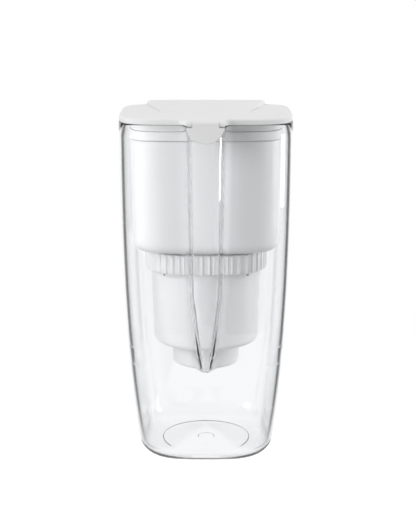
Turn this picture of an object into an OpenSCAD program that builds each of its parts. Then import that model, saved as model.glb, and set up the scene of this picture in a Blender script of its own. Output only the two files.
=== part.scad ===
// Water filter pitcher with a flip lid, in millimetres.
// The origin is on the table under the middle of the jug. +Z is up and the spout points to -Y.

/* [Jug] */
// Width across the rim
jug_w = 135.6; // [132:0.1:148]
// Depth of the rim from front to back, without spout and handle
jug_d = 136; // [130:0.5:146]
// Height of the rim above the table
jug_h = 271.3; // [262:0.1:285]
// Width across the foot, before its edge is rounded
foot_w = 107; // [104:0.5:114]
// Depth of the foot, before its edge is rounded
foot_d = 113; // [106:0.5:120]
// How early the sides swell out above the foot
swell = 2.8; // [2.4:0.1:3.6]
// How square the rim is, where 2 is an ellipse
rim_square = 5.2; // [4.6:0.1:6]
// How square the foot is, where 2 is an ellipse
foot_square = 3.6; // [3:0.1:4.2]
// How much wider the sides stand towards the back, as a share per millimetre
back_spread = 0.0003; // [0:0.0001:0.0004]
// Thickness of the clear wall
jug_wall = 3.2; // [2.8:0.1:3.8]
// Thickness of the floor
jug_floor = 4.5; // [3.5:0.1:6]
// Radius of the bottom edge
foot_radius = 13; // [10:0.5:15]
// Diameter of the shallow recess under the floor
recess_dia = 75; // [50:1:80]
// Depth of that recess
recess_depth = 0.8; // [0.4:0.1:1.2]
// Diameter of the moulding dimple in the middle of the recess
dimple_dia = 14; // [8:1:20]
// Depth of the dimple beyond the recess
dimple_depth = 0.5; // [0.3:0.1:0.8]

/* [Spout] */
// Width where the spout leaves the wall, at the rim
spout_root_w = 33; // [31:0.5:38]
// Width of its front face at the rim
spout_face_w = 25.6; // [24:0.2:28]
// How far it stands out at the rim
spout_reach = 14; // [12:0.5:18]
// Width where the spout leaves the wall, at the crease
crease_root_w = 18; // [16:0.5:22]
// Width of its front face at the crease
crease_face_w = 12.5; // [11:0.5:14]
// How far it stands out at the crease
crease_reach = 12; // [10:0.5:14]
// Height of the crease, where the front face folds back to the wall
crease_z = 97; // [90:1:110]
// Height where the spout runs out into the wall
spout_tip_z = 80; // [70:1:85]
// Width of the mouth in the front face
mouth_w = 20; // [16:0.5:22]
// Depth of the mouth below the rim
mouth_depth = 9; // [6:0.5:9.5]

/* [Hopper] */
// Gap between the rim band and the inside of the jug
hopper_gap = 3.2; // [2.8:0.1:4.5]
// Thickness of the white wall
hopper_wall = 2.2; // [1.8:0.1:2.8]
// Depth from the jug's rim to the underside of the floor
hopper_depth = 100.3; // [90:0.1:110]
// Radius of the edge round the floor
hopper_radius = 9; // [7:0.5:11]
// How much the sides draw in from the band to the floor
hopper_draft = 0.8; // [0.4:0.1:2]
// Height of the band below the rim
band_h = 12.2; // [9:0.1:14]
// How far the band stands out from the wall
band_step = 1.2; // [0.6:0.1:1.6]
// Depth of the fine groove along the middle of the band
groove_depth = 0.8; // [0.4:0.1:0.9]
// Thickness of the flange that hangs on the jug's rim
flange_t = 0.9; // [0.7:0.1:1.1]
// How far the flange's edge stays inside the outside of the jug
flange_inset = 2; // [1.7:0.1:2.4]
// Radius of the bore through the neck
neck_bore_r = 43.6; // [42.4:0.1:45]
// Thickness of the neck
neck_wall = 2.6; // [2.2:0.1:3]
// Length of the neck below the floor
neck_h = 12.4; // [11:0.1:14]

/* [Screw thread] */
// Rise of the thread in one turn
thread_pitch = 6; // [5.6:0.1:7]
// How far the ridges stand out
thread_depth = 0.8; // [0.6:0.1:1]
// Height of a ridge at its root
thread_root = 2.2; // [1.8:0.1:2.4]
// Length of each ridge in turns
thread_turns = 1.1; // [0.8:0.1:1.2]

/* [Cartridge] */
// How square the ribbed collar's outside is, where 2 is a circle
collar_square = 2.8; // [2:0.1:3]
// Height of the ribbed collar
collar_h = 15.4; // [14.5:0.1:18]
// Thickness of the collar between its ribs, at the middle of its sides
collar_wall = 2; // [1.8:0.1:3]
// How far a rib stands out
rib_r = 0.9; // [0.6:0.1:1.2]
// Number of ribs round the collar
rib_count = 56; // [40:2:64]
// Gap between the collar and the hopper's floor
collar_gap = 2.4; // [1.5:0.1:4]
// Thickness of the shell's flange and of the collar's lip
lip_t = 2; // [1.6:0.1:2.4]
// Thickness of the seal under the neck
seal_t = 1.5; // [1.2:0.1:2]
// Radius of the shell under the collar
shell_r = 45.4; // [44:0.1:46]
// Radius of the shell at its bottom
shell_low_r = 43.6; // [42:0.1:44]
// Thickness of the shell
shell_wall = 2; // [1.6:0.1:2.4]
// Length of the shell below the collar
shell_h = 63.7; // [58:0.1:68]
// Radius of the shell's bottom edge
shell_radius = 5; // [3:0.5:6]
// Radius of the hole in the shell's bottom
outlet_r = 20; // [16:0.5:22]
// Width of an air groove in degrees
slot_width = 22; // [16:1:28]
// Height of an air groove
slot_h = 1.2; // [0.8:0.1:1.8]
// Depth of an air groove
slot_depth = 0.5; // [0.3:0.1:0.8]
// Distance of the air grooves below the collar
slot_drop = 3.2; // [2:0.1:5]
// Angle from the front or the back to the middle of an air groove
slot_turn = 38; // [25:1:45]
// Radius of the air hole at the outer end of a groove
air_hole_r = 0.9; // [0.7:0.1:1.2]
// Radius of the outlet cup
cup_r = 27.4; // [25:0.1:30]
// Height of the outlet cup
cup_h = 19.5; // [16:0.1:22]
// Thickness of the outlet cup
cup_wall = 2; // [1.6:0.1:2.4]
// Radius of the cup's bottom edge
cup_radius = 3; // [2.5:0.1:4]
// Radius of the drip cone where it leaves the cup
cone_r = 12; // [9:0.5:14]
// Length of the drip cone
cone_h = 10; // [7:0.5:12]
// Thickness of the inlet screen and of the outlet grid
screen_t = 1.4; // [1:0.1:2]
// Thickness of each outer felt
felt_t = 3; // [2:0.1:4]
// Thickness of the felt between the two beds
divider_t = 2; // [1:0.1:3]
// Height of the resin bed
resin_h = 21; // [16:0.5:24]
// Free height for air above the inlet screen
headroom = 7; // [5:0.1:9]
// Height of the inlet cap above the shell's flange
inlet_h = 11; // [8:0.1:11.5]
// Depth of the inlet cap's spigot inside the shell
inlet_spigot_h = 5; // [4:0.1:6]
// Radius of a hole in the inlet screen
screen_hole_r = 1.6; // [1:0.1:2]
// Radius of a hole in the outlet grid
grid_hole_r = 1.8; // [1:0.1:2]
// Radius of a drip hole in the outlet cup
drip_hole_r = 1.5; // [1:0.1:2]

/* [Lid] */
// Height of the lid's top above the jug's rim
lid_rise = 4.7; // [4.6:0.1:6]
// How much lower the lid is along its back edge
lid_fall = 2.2; // [1.6:0.1:2.2]
// Thickness of the top
lid_wall = 1.6; // [1.4:0.1:1.6]
// Thickness of the skirt
skirt_wall = 1.35; // [1:0.05:1.35]
// How far the skirt stays inside the outside of the jug
lid_inset = 0.35; // [0:0.05:0.35]
// Gap between the skirt and the jug's rim
lid_gap = 0.3; // [0.2:0.1:0.6]
// Depth of the locating lip below the jug's rim
lip_depth = 5; // [3:0.5:8]

/* [Hatch] */
// Distance of its front edge in front of the middle of the jug
hatch_front = 18; // [12:0.5:22]
// Width of its front edge
hatch_front_w = 68.6; // [60:0.2:72]
// Width of its back edge
hatch_back_w = 102; // [96:0.5:104]
// How far the back edge hangs over the lid
hatch_overhang = 2.5; // [1:0.1:4]
// How much higher the top is along the back edge
hatch_rise = 0.8; // [0.2:0.1:2]
// Slope of the two long edges at the back, seen as a width
hatch_bevel = 2.5; // [1:0.1:4]
// Width of the frame that the hatch rests on
seat_w = 6; // [4:0.5:8]
// Thickness of that frame
seat_t = 1.4; // [1.2:0.1:1.5]
// Distance of the frame's back edge behind the middle of the jug
fill_back = 50; // [44:0.5:52]
// Radius of the hinge pin
hatch_pin_r = 0.75; // [0.6:0.05:0.9]
// Thickness of the hinge barrel round the pin
hatch_barrel_wall = 0.85; // [0.7:0.05:0.9]

/* [Spout flap] */
// Width of the tongue
flap_w = 27.7; // [26:0.1:29]
// Thickness of the tongue
flap_t = 2.9; // [2.2:0.1:2.9]
// How far the tongue reaches below the mouth
flap_lap = 2.8; // [1.5:0.1:4]
// Gap between the tongue and the spout
flap_gap = 0.4; // [0.3:0.1:0.8]
// Radius of the hinge barrel
flap_barrel_r = 2; // [1.7:0.1:2.1]
// Length of the hinge barrel
flap_barrel_w = 19.8; // [16:0.2:20]
// Radius of the hinge pin
flap_pin_r = 0.8; // [0.6:0.05:1]

/* [Handle] */
// Width of the handle
handle_w = 26; // [22:0.5:32]
// Thickness of the grip and of both arms
handle_t = 18; // [16:0.5:20]
// Distance of the handle's top below the rim
handle_drop = 9.3; // [8:0.1:30]
// Height of the handle's underside
handle_low_z = 82; // [76:1:100]
// How far the grip stands out from the jug's rim
handle_reach = 50; // [46:0.5:58]
// How far the grip leans in towards its lower end
handle_rake = 7; // [0:0.5:12]
// Outer radius of the two bends
handle_bend_r = 26; // [23:0.5:30]
// Thickness of the grip's shell
handle_wall = 2.4; // [2:0.1:3]
// Thickness of the liner on the finger side
liner_t = 2; // [1.6:0.1:2.6]
// Length of the two lugs on the jug
lug_l = 12; // [10:0.5:14]
// Radius of a screw
screw_r = 1.5; // [1.25:0.05:1.75]
// Length of a screw's shank
screw_l = 11; // [9:0.5:12]
// Radius of a screw's head
screw_head_r = 2.8; // [2.4:0.1:3.4]
// Height of a screw's head
screw_head_h = 1.8; // [1.4:0.1:2.2]

/* [Fits] */
// Gap round a turning pin
pin_play = 0.05; // [0.02:0.01:0.09]
// Gap between two moving walls
play = 0.4; // [0.3:0.05:0.6]
// Gap between two pieces that are fixed together
fit = 0.15; // [0.1:0.05:0.3]
// Gap under a plate that lies on another
rest_gap = 0.1; // [0.05:0.01:0.15]

/* [Hidden] */
$fn = 96;

// Steps round the jug, along a rounded edge and along one turn of thread
plan_steps = 48;
edge_steps = 5;
turn_steps = 30;
// Length that a cut runs past what it cuts
past = 1;

// Heights, from the jug's rim down and then up
hopper_z = jug_h - hopper_depth;
hopper_floor_z = hopper_z + hopper_wall;
neck_z = hopper_z - neck_h;
seal_z = neck_z - seal_t;
lip_z = seal_z - lip_t;
collar_top_z = hopper_z - collar_gap;
collar_z = collar_top_z - collar_h;
shell_z = collar_z - shell_h;
cup_z = shell_z - cup_h;
flange_top_z = jug_h + flange_t;
lid_top_z = jug_h + lid_rise;
skirt_z = jug_h + lid_gap;
handle_top_z = jug_h - handle_drop;

// Insets from the outside of the jug's rim
band_inset = jug_wall + hopper_gap;
bore_inset = band_inset + hopper_wall;
flange_low_inset = band_inset;

// Radii of the neck and of what screws onto it
neck_r = neck_bore_r + neck_wall;
collar_bore_r = neck_r + thread_depth + play;
collar_r = collar_bore_r + collar_wall;

// The value at a share of the way from low to high
function between(low, high, share) = low + (high - low) * share;
function signed_power(v, power) = sign(v) * pow(abs(v), power);
function reversed(list) = [for (i = [len(list) - 1 : -1 : 0]) list[i]];
function flat(points) = [for (p = points) [p[0], p[1]]];
// Points on an arc round centre
function arc(centre, r, from, to, steps) =
    [for (i = [0 : steps]) let (t = between(from, to, i / steps)) centre + r * [cos(t), sin(t)]];

// The jug's half width, half depth and squareness at a height
function swelled(z) = 1 - pow(1 - z / jug_h, swell);
function jug_half_w(z) = between(foot_w, jug_w, swelled(z)) / 2;
function jug_half_d(z) = between(foot_d, jug_d, swelled(z)) / 2;
function jug_square(z) = between(foot_square, rim_square, swelled(z));

// The spout's widths and reach at a height. Below its tip it is a narrow strip of the wall.
tip_root_w = 10;
tip_face_w = 3;
// Least half width of the face, and least width of a side, inside the wall near the tip
least_face = 0.4;
least_side = 0.6;
bulge_z = crease_z + 45;
bulge_share = 0.72;
function spout_size(z, tip, crease, rim) = lookup(z, [
    [spout_tip_z, tip],
    [crease_z, crease],
    [bulge_z, between(crease, rim, bulge_share)],
    [jug_h, rim]
]);
function spout_root(z) = spout_size(z, tip_root_w, crease_root_w, spout_root_w) / 2;
function spout_face(z) = spout_size(z, tip_face_w, crease_face_w, spout_face_w) / 2;
function spout_out(z) = spout_size(z, 0, crease_reach, spout_reach);
// How much a half width shrinks when the spout's slanted side moves in by one
function side_shrink(z) =
    let (lean = atan2(spout_root(z) - spout_face(z), max(spout_out(z), 1))) (1 - sin(lean)) / cos(lean);

// A point of an outline, moved sideways because the jug is wider at its back
function spread_out(x, y, z) = [x * (1 + back_spread * y), y, z];

// One ring of the jug, with the spout, from the spout's right side round the back to its left
function jug_ring(z, inset) =
    let (
        a = jug_half_w(z) - inset,
        b = jug_half_d(z) - inset,
        n = jug_square(z),
        shrink = inset * side_shrink(z),
        face = max(spout_face(z) - shrink, least_face),
        root = max(spout_root(z) - shrink, face + least_side),
        start = acos(pow(root / a, n / 2)),
        front = -b - spout_out(z)
    )
    concat(
        [for (i = [0 : plan_steps])
            let (t = between(-start, 180 + start, i / plan_steps))
            spread_out(a * signed_power(cos(t), 2 / n), b * signed_power(sin(t), 2 / n), z)],
        [[-face, front, z], [face, front, z]]
    );

// One ring of the rim's outline without the spout
function rim_ring(z, inset) =
    [for (i = [0 : plan_steps - 1])
        let (t = i * 360 / plan_steps)
        spread_out(
            (jug_w / 2 - inset) * signed_power(cos(t), 2 / rim_square),
            (jug_d / 2 - inset) * signed_power(sin(t), 2 / rim_square),
            z
        )];

// Height and inset along a rounded edge that ends level with the floor at z
function rounded_edge(z, inset, r) =
    [for (i = [0 : edge_steps])
        let (t = i * 90 / edge_steps)
        [z + r * (1 - cos(t)), inset + r * (1 - sin(t))]];

// A closed solid through rings that have equally many points
module loft(rings) {
    n = len(rings[0]);
    last = len(rings) - 1;
    sides = [for (k = [0 : last - 1], i = [0 : n - 1])
        let (a = k * n + i, b = k * n + (i + 1) % n)
        each [[a, a + n, b], [b, a + n, b + n]]];
    low_cap = [for (i = [0 : n - 1]) i];
    top_cap = [for (i = [n - 1 : -1 : 0]) last * n + i];
    polyhedron(points = [for (ring = rings) each ring], faces = concat([low_cap], sides, [top_cap]));
}

// A cylinder along X, centred on x = 0
module bar(y, z, r, length) {
    translate([-length / 2, y, z]) rotate([0, 90, 0]) cylinder(r = r, h = length);
}

// An outline in Y and Z, given thickness along X
module side_profile(points, width) {
    rotate([90, 0, 90]) translate([0, 0, -width / 2]) linear_extrude(width) polygon(points);
}

// A ring or disc with straight sides
module disc(z, height, r, bore = 0) {
    translate([0, 0, z])
        difference() {
            cylinder(r = r, h = height);
            if (bore > 0) translate([0, 0, -past]) cylinder(r = bore, h = height + 2 * past);
        }
}

// Jug

jug_levels = concat(
    [for (k = [0 : 2]) between(jug_floor + foot_radius, spout_tip_z, k / 3)],
    [spout_tip_z, crease_z, bulge_z],
    [for (k = [1 : 4]) between(bulge_z, jug_h, k / 4)]
);
jug_profile = concat(
    rounded_edge(0, 0, foot_radius),
    [for (z = jug_levels) [z, 0]],
    [for (z = reversed(jug_levels)) [z, jug_wall]],
    reversed(rounded_edge(jug_floor, jug_wall, foot_radius - jug_wall))
);

// The spout's front face and its mouth
spout_front_y = -jug_d / 2 - spout_reach;
mouth_z = jug_h - mouth_depth;

module jug() {
    color([0.86, 0.92, 0.96, 0.4])
        difference() {
            union() {
                loft([for (p = jug_profile) jug_ring(p[0], p[1])]);
                handle_lug(lug_top_z);
                handle_lug(lug_low_z);
            }
            translate([0, spout_front_y - past, mouth_z + mouth_w / 2])
                rotate([-90, 0, 0]) cylinder(d = mouth_w, h = jug_wall + 3 * past);
            translate([0, 0, -past]) cylinder(d = recess_dia, h = recess_depth + past);
            translate([0, 0, -past]) cylinder(d = dimple_dia, h = recess_depth + dimple_depth + past);
            screw_hole(screw_top_z, screw_r);
            screw_hole(screw_low_z, screw_r);
        }
}

// Handle

// The inside of the hollow arms, between the shell and the liner
arm_w = handle_w - 2 * handle_wall;
arm_h = handle_t - handle_wall - liner_t;
lug_top_z = handle_top_z - handle_wall - arm_h / 2;
lug_low_z = handle_low_z + handle_wall + arm_h / 2;
// Where a screw stands along its lug, as a share of the lug
screw_share = 0.6;
screw_y = jug_half_d(lug_low_z) + lug_l * screw_share;
// Undersides that the two screw heads press on
screw_top_z = handle_top_z - handle_t;
screw_low_z = handle_low_z;

module handle_lug(z) {
    wall_y = jug_half_d(z);
    translate([-arm_w / 2 + fit, wall_y - jug_wall / 2, z - arm_h / 2 + fit])
        cube([arm_w - 2 * fit, lug_l + jug_wall / 2, arm_h - 2 * fit]);
}

module screw_hole(z, r) {
    translate([0, screw_y, z - past]) cylinder(r = r, h = screw_l + past);
}

// The handle's outer edge moved in by inset, from the wall at the top to the wall at the foot
function handle_path(inset, gap) =
    let (
        bend_y = jug_d / 2 + handle_reach - handle_bend_r,
        high = [bend_y, handle_top_z - handle_bend_r],
        low = [bend_y - handle_rake, handle_low_z + handle_bend_r],
        lean = atan2(handle_rake, high[1] - low[1]),
        r = handle_bend_r - inset,
        high_z = handle_top_z - inset,
        low_z = handle_low_z + inset
    )
    concat(
        [[jug_half_d(high_z) + gap, high_z]],
        arc(high, r, 90, -lean, 8),
        arc(low, r, -lean, -90, 8),
        [[jug_half_d(low_z) + gap, low_z]]
    );

// The part of the handle between two insets
module handle_band(outer, inner, gap, width) {
    side_profile(concat(handle_path(outer, gap), reversed(handle_path(inner, gap))), width);
}

module handle_grip() {
    color("white")
        difference() {
            handle_band(0, handle_t, fit, handle_w);
            handle_band(handle_wall, handle_t + past, -past, arm_w);
            screw_hole(screw_low_z, screw_r + fit);
        }
}

module handle_liner() {
    color("gainsboro")
        difference() {
            handle_band(handle_t - liner_t, handle_t, fit, arm_w - 2 * fit);
            screw_hole(screw_top_z, screw_r + fit);
        }
}

module handle_screws() {
    color("silver")
        for (z = [screw_top_z, screw_low_z])
            translate([0, screw_y, z]) {
                cylinder(r = screw_r, h = screw_l);
                translate([0, 0, -screw_head_h]) cylinder(r = screw_head_r, h = screw_head_h);
            }
}

// Hopper

band_z = jug_h - band_h;
// Where the groove runs, as a share of the band below the rim
groove_share = 0.45;
groove_z = jug_h - band_h * groove_share;
wall_inset = band_inset + band_step;
hopper_profile = concat(
    rounded_edge(hopper_z, wall_inset + hopper_draft, hopper_radius),
    [
        [band_z, wall_inset],
        [band_z, band_inset],
        [groove_z - groove_depth, band_inset],
        [groove_z, band_inset + groove_depth],
        [groove_z + groove_depth, band_inset],
        [jug_h, flange_low_inset],
        [jug_h, flange_inset],
        [flange_top_z, flange_inset],
        [flange_top_z, bore_inset],
        [band_z + hopper_wall, bore_inset],
        [band_z, bore_inset + band_step]
    ],
    reversed(rounded_edge(
        hopper_floor_z,
        wall_inset + hopper_draft + hopper_wall,
        hopper_radius - hopper_wall
    ))
);

// A screw ridge round the Z axis. It starts at height z, and its foot lies at radius r.
// Its flanks draw in by this share of its depth.
flank_share = 0.6;
module ridge(z, r, depth) {
    tip = thread_root - 2 * abs(depth) * flank_share;
    loft([for (i = [0 : floor(turn_steps * thread_turns)])
        let (t = i * 360 / turn_steps, rise = z + thread_pitch * t / 360)
        [for (p = [[r, -thread_root], [r + depth, -tip], [r + depth, tip], [r, thread_root]])
            [p[0] * cos(t), p[0] * sin(t), rise + p[1] / 2]]]);
}

// The ridges' feet sink this far into what carries them
thread_sink = 0.3;
collar_thread_z = seal_z + thread_root / 2 + play;
neck_thread_z = collar_thread_z + thread_pitch / 2;

module hopper() {
    color("white")
        difference() {
            union() {
                loft([for (p = hopper_profile) rim_ring(p[0], p[1])]);
                disc(neck_z, hopper_z - neck_z + hopper_wall / 2, neck_r);
                ridge(neck_thread_z, neck_r - thread_sink, thread_sink + thread_depth);
            }
            disc(neck_z - past, hopper_floor_z - neck_z + 2 * past, neck_bore_r);
        }
}

// Cartridge, from the seal down

// The seal's bore is wider than the neck's by this share of the neck's thickness
seal_share = 0.25;
seal_inner_r = neck_bore_r + neck_wall * seal_share;

module neck_seal() {
    color("dimgray") disc(seal_z, seal_t, neck_r, seal_inner_r);
}

// Distance from the middle to the collar's outside, in the direction t
function collar_side(t) =
    let (n = collar_square) collar_r * pow(pow(abs(cos(t)), n) + pow(abs(sin(t)), n), -1 / n);

module cartridge_collar() {
    color("white") {
        difference() {
            translate([0, 0, collar_z])
                linear_extrude(collar_h)
                    difference() {
                        union() {
                            polygon([for (i = [0 : $fn - 1])
                                let (t = i * 360 / $fn) collar_side(t) * [cos(t), sin(t)]]);
                            for (i = [0 : rib_count - 1])
                                let (t = i * 360 / rib_count)
                                    rotate(t) translate([collar_side(t), 0]) circle(r = rib_r, $fn = 24);
                        }
                        circle(r = collar_lip_r);
                    }
            disc(lip_z, collar_top_z - lip_z + past, collar_bore_r);
        }
        ridge(collar_thread_z, collar_bore_r + thread_sink, -thread_sink - thread_depth);
    }
}

// The shell's inside, as a radius at a height
bore_top_r = shell_r - shell_wall;
bore_low_r = shell_low_r - shell_wall;
function shell_bore(z) = between(bore_low_r, bore_top_r, (z - shell_z) / (lip_z - shell_z));
collar_lip_r = shell_r + fit;
flange_r = collar_bore_r - play;
slot_z = collar_z - slot_h - slot_drop;
// The shell's outside at a height above its rounded edge
shell_edge_z = shell_z + shell_radius;
function shell_side(z) = between(shell_low_r, shell_r, (z - shell_edge_z) / (lip_z - shell_edge_z));
// From the middle of an air groove to its hole, in degrees
air_hole_turn = slot_width * 0.42;

module cartridge_shell() {
    color("whitesmoke")
        difference() {
            rotate_extrude()
                polygon(concat(
                    [[outlet_r, shell_z]],
                    arc([shell_low_r - shell_radius, shell_z + shell_radius], shell_radius, -90, 0, 8),
                    [[shell_r, lip_z], [flange_r, lip_z], [flange_r, seal_z], [bore_top_r, seal_z]],
                    [[bore_top_r, lip_z], [bore_low_r, grid_z], [outlet_r, grid_z]]
                ));
            for (front = [-90, 90], side = [-1, 1]) {
                rotate(front + side * slot_turn - slot_width / 2)
                    translate([0, 0, slot_z])
                        rotate_extrude(angle = slot_width)
                            translate([shell_side(slot_z) - slot_depth, 0]) square([shell_wall, slot_h]);
                rotate(front + side * (slot_turn + air_hole_turn))
                    translate([shell_low_r - 2 * shell_wall, 0, slot_z + slot_h / 2])
                        rotate([0, 90, 0]) cylinder(r = air_hole_r, h = 4 * shell_wall, $fn = 24);
            }
        }
}

// The stack inside the shell, each layer resting on the one below
grid_z = shell_z + shell_wall;
outlet_felt_z = grid_z + screen_t;
resin_z = outlet_felt_z + felt_t;
divider_z = resin_z + resin_h;
carbon_z = divider_z + divider_t;
screen_z = lip_z - headroom - screen_t;
inlet_felt_z = screen_z - felt_t;
carbon_h = inlet_felt_z - carbon_z;

// A layer that fills the tapered shell
module layer(z, height) {
    translate([0, 0, z])
        cylinder(r1 = shell_bore(z) - fit, r2 = shell_bore(z + height) - fit, h = height);
}

// Holes through a plate on rings round its middle
module hole_rings(z, height, r, rings, hole_r) {
    for (k = [1 : rings], i = [1 : 6 * k])
        rotate(i * 60 / k)
            translate([r * k / rings, 0, z - past]) cylinder(r = hole_r, h = height + 2 * past);
}

module inlet_cap() {
    top_z = seal_z + inlet_h;
    neck_fit_r = neck_bore_r - 2 * play;
    wall = shell_wall;
    low_z = seal_z - inlet_spigot_h;
    spokes = 12;
    slot_l = 6;
    slot_w = 2;
    color("white")
        difference() {
            union() {
                disc(low_z, inlet_spigot_h, bore_top_r - fit);
                disc(seal_z, lip_t / 2, seal_inner_r - fit);
                disc(seal_z, inlet_h, neck_fit_r);
            }
            disc(low_z - past, top_z - wall - low_z + past, bore_top_r - 2 * wall);
            for (k = [0 : spokes - 1], r = [14, 25, 34])
                rotate(k * 360 / spokes)
                    translate([r, -slot_w / 2, top_z - wall - past]) cube([slot_l, slot_w, wall + 2 * past]);
        }
}

// Width of the plain rims of the screen and of the grid, up to the middle of the outer holes
screen_rim = 6;
grid_rim = 3;

module inlet_screen() {
    color("silver")
        difference() {
            layer(screen_z, screen_t);
            hole_rings(screen_z, screen_t, bore_low_r - screen_rim, 4, screen_hole_r);
        }
}

module inlet_felt() {
    color("ivory") layer(inlet_felt_z, felt_t);
}

module carbon_bed() {
    color([0.15, 0.15, 0.16]) layer(carbon_z, carbon_h);
}

module divider_felt() {
    color("ivory") layer(divider_z, divider_t);
}

module resin_bed() {
    color("goldenrod") layer(resin_z, resin_h);
}

module outlet_felt() {
    color("ivory") layer(outlet_felt_z, felt_t);
}

module outlet_grid() {
    color("silver")
        difference() {
            disc(grid_z, screen_t, bore_low_r - fit);
            hole_rings(grid_z, screen_t, outlet_r - grid_rim, 3, grid_hole_r);
        }
}

module outlet_cup() {
    spigot_r = outlet_r - fit;
    inner_r = cup_r - cup_wall;
    spigot_z = shell_z + shell_wall - fit;
    cone_tip_r = 1.5;
    drip_holes = 8;
    color("whitesmoke")
        difference() {
            rotate_extrude()
                polygon(concat(
                    [[0, cup_z - cone_h], [cone_tip_r, cup_z - cone_h], [cone_r, cup_z]],
                    arc([cup_r - cup_radius, cup_z + cup_radius], cup_radius, -90, 0, 6),
                    [[cup_r, shell_z], [spigot_r, shell_z], [spigot_r, spigot_z]],
                    [[spigot_r - cup_wall, spigot_z], [spigot_r - cup_wall, shell_z - cup_wall]],
                    [[inner_r, shell_z - cup_wall], [inner_r, cup_z + cup_wall], [0, cup_z + cup_wall]]
                ));
            for (i = [0 : drip_holes - 1])
                rotate((i + 0.5) * 360 / drip_holes)
                    translate([(cone_r + inner_r) / 2, 0, cup_z - past])
                        cylinder(r = drip_hole_r, h = cup_wall + 2 * past);
        }
}

// Lid

fold_y = -hatch_front - play;
back_y = jug_d / 2 - lid_inset;
// How far the roof's outline reaches past the lid on all sides
far = jug_d;

// Everything below the lid's top surface, lowered by drop
module roof(drop) {
    fall = lid_fall * (far - fold_y) / (back_y - fold_y);
    side_profile([
        [-far, jug_h - 2 * lip_depth],
        [far, jug_h - 2 * lip_depth],
        [far, lid_top_z - fall - drop],
        [fold_y, lid_top_z - drop],
        [-far, lid_top_z - drop]
    ], 2 * far);
}

// A straight column on the outline of the rim with the spout
module beak_column(inset, z) {
    translate([0, 0, z]) linear_extrude(lid_top_z - z) polygon(flat(jug_ring(jug_h, inset)));
}

// A straight ring on the outline of the rim without the spout
module rim_wall(outer, inner, z) {
    translate([0, 0, z])
        linear_extrude(lid_top_z - z)
            difference() {
                polygon(flat(rim_ring(0, outer)));
                polygon(flat(rim_ring(0, inner)));
            }
}

// The hatch's outline widened by a margin
hatch_back = jug_d / 2 + hatch_overhang;
hatch_lean = (hatch_back_w - hatch_front_w) / 2 / (hatch_back + hatch_front);
function hatch_half_w(y) = hatch_front_w / 2 + hatch_lean * (y + hatch_front);
function hatch_outline(margin, back) =
    let (front = -hatch_front - margin, slant = margin * sqrt(1 + hatch_lean * hatch_lean))
    [
        [-hatch_half_w(front) - slant, front],
        [hatch_half_w(front) + slant, front],
        [hatch_half_w(back) + slant, back],
        [-hatch_half_w(back) - slant, back]
    ];
module hatch_column(margin, back, z) {
    translate([0, 0, z]) linear_extrude(lid_top_z + past - z) polygon(hatch_outline(margin, back));
}

// The hatch's hinge and seat
barrel_r = hatch_pin_r + hatch_barrel_wall;
barrel_y = barrel_r - hatch_front;
barrel_z = lid_top_z - barrel_r;
seat_z = flange_top_z + 2 * rest_gap + seat_t;
hatch_z = seat_z + rest_gap;
pin_wall = 1.4;
trough_y = barrel_y + barrel_r + play;

// The flap's hinge. The tongue's back is half a barrel radius behind the pin.
flap_back_y = spout_front_y - flap_gap;
flap_y = flap_back_y - flap_barrel_r / 2;
flap_z = lid_top_z - flap_barrel_r - rest_gap;
ear_x = flap_barrel_w / 2 + play;
ear_w = flap_w / 2 - ear_x;

module lid() {
    color("white")
        difference() {
            union() {
                intersection() {
                    roof(0);
                    union() {
                        difference() {
                            beak_column(lid_inset, skirt_z);
                            intersection() {
                                roof(lid_wall);
                                translate([0, 0, -past]) beak_column(lid_inset + skirt_wall, skirt_z);
                            }
                        }
                        rim_wall(flange_inset, flange_inset + lid_wall, flange_top_z);
                        rim_wall(bore_inset + play, bore_inset + play + lid_wall, jug_h - lip_depth);
                        intersection() {
                            hatch_column(play + pin_wall, hatch_back, seat_z - seat_t);
                            beak_column(lid_inset, skirt_z);
                        }
                    }
                }
                for (side = [-1, 1]) flap_ear(side);
            }
            hatch_column(play, hatch_back + past, seat_z);
            translate([0, 0, -2 * lip_depth]) hatch_column(-seat_w, fill_back, jug_h);
            hatch_trough();
            bar(flap_y, flap_z, flap_barrel_r + play, 2 * ear_x);
            bar(flap_y, flap_z, flap_pin_r, flap_w + past);
            bar(barrel_y, barrel_z, hatch_pin_r, hatch_pin_l);
        }
}

// The hinge barrel's free space, cut through the frame
module hatch_trough() {
    half_w = hatch_half_w(trough_y) + play;
    translate([-half_w, fold_y, jug_h - past]) cube([2 * half_w, trough_y - fold_y, lid_rise + 2 * past]);
}

// One of the two ears that hold the flap's pin
module flap_ear(side) {
    translate([side * (ear_x + ear_w / 2), 0, 0]) {
        bar(flap_y, flap_z, flap_barrel_r, ear_w);
        translate([-ear_w / 2, flap_y, flap_z - flap_barrel_r])
            cube([ear_w, spout_front_y + skirt_wall - flap_y + lid_inset, 2 * flap_barrel_r]);
    }
}

hatch_pin_l = hatch_front_w + 2 * (play + pin_wall);

module hatch_pin() {
    color("silver") bar(barrel_y, barrel_z, hatch_pin_r, hatch_pin_l);
}

module flap_pin() {
    color("silver") bar(flap_y, flap_z, flap_pin_r, flap_w);
}

// Fill hatch, hinged along its front edge

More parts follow.
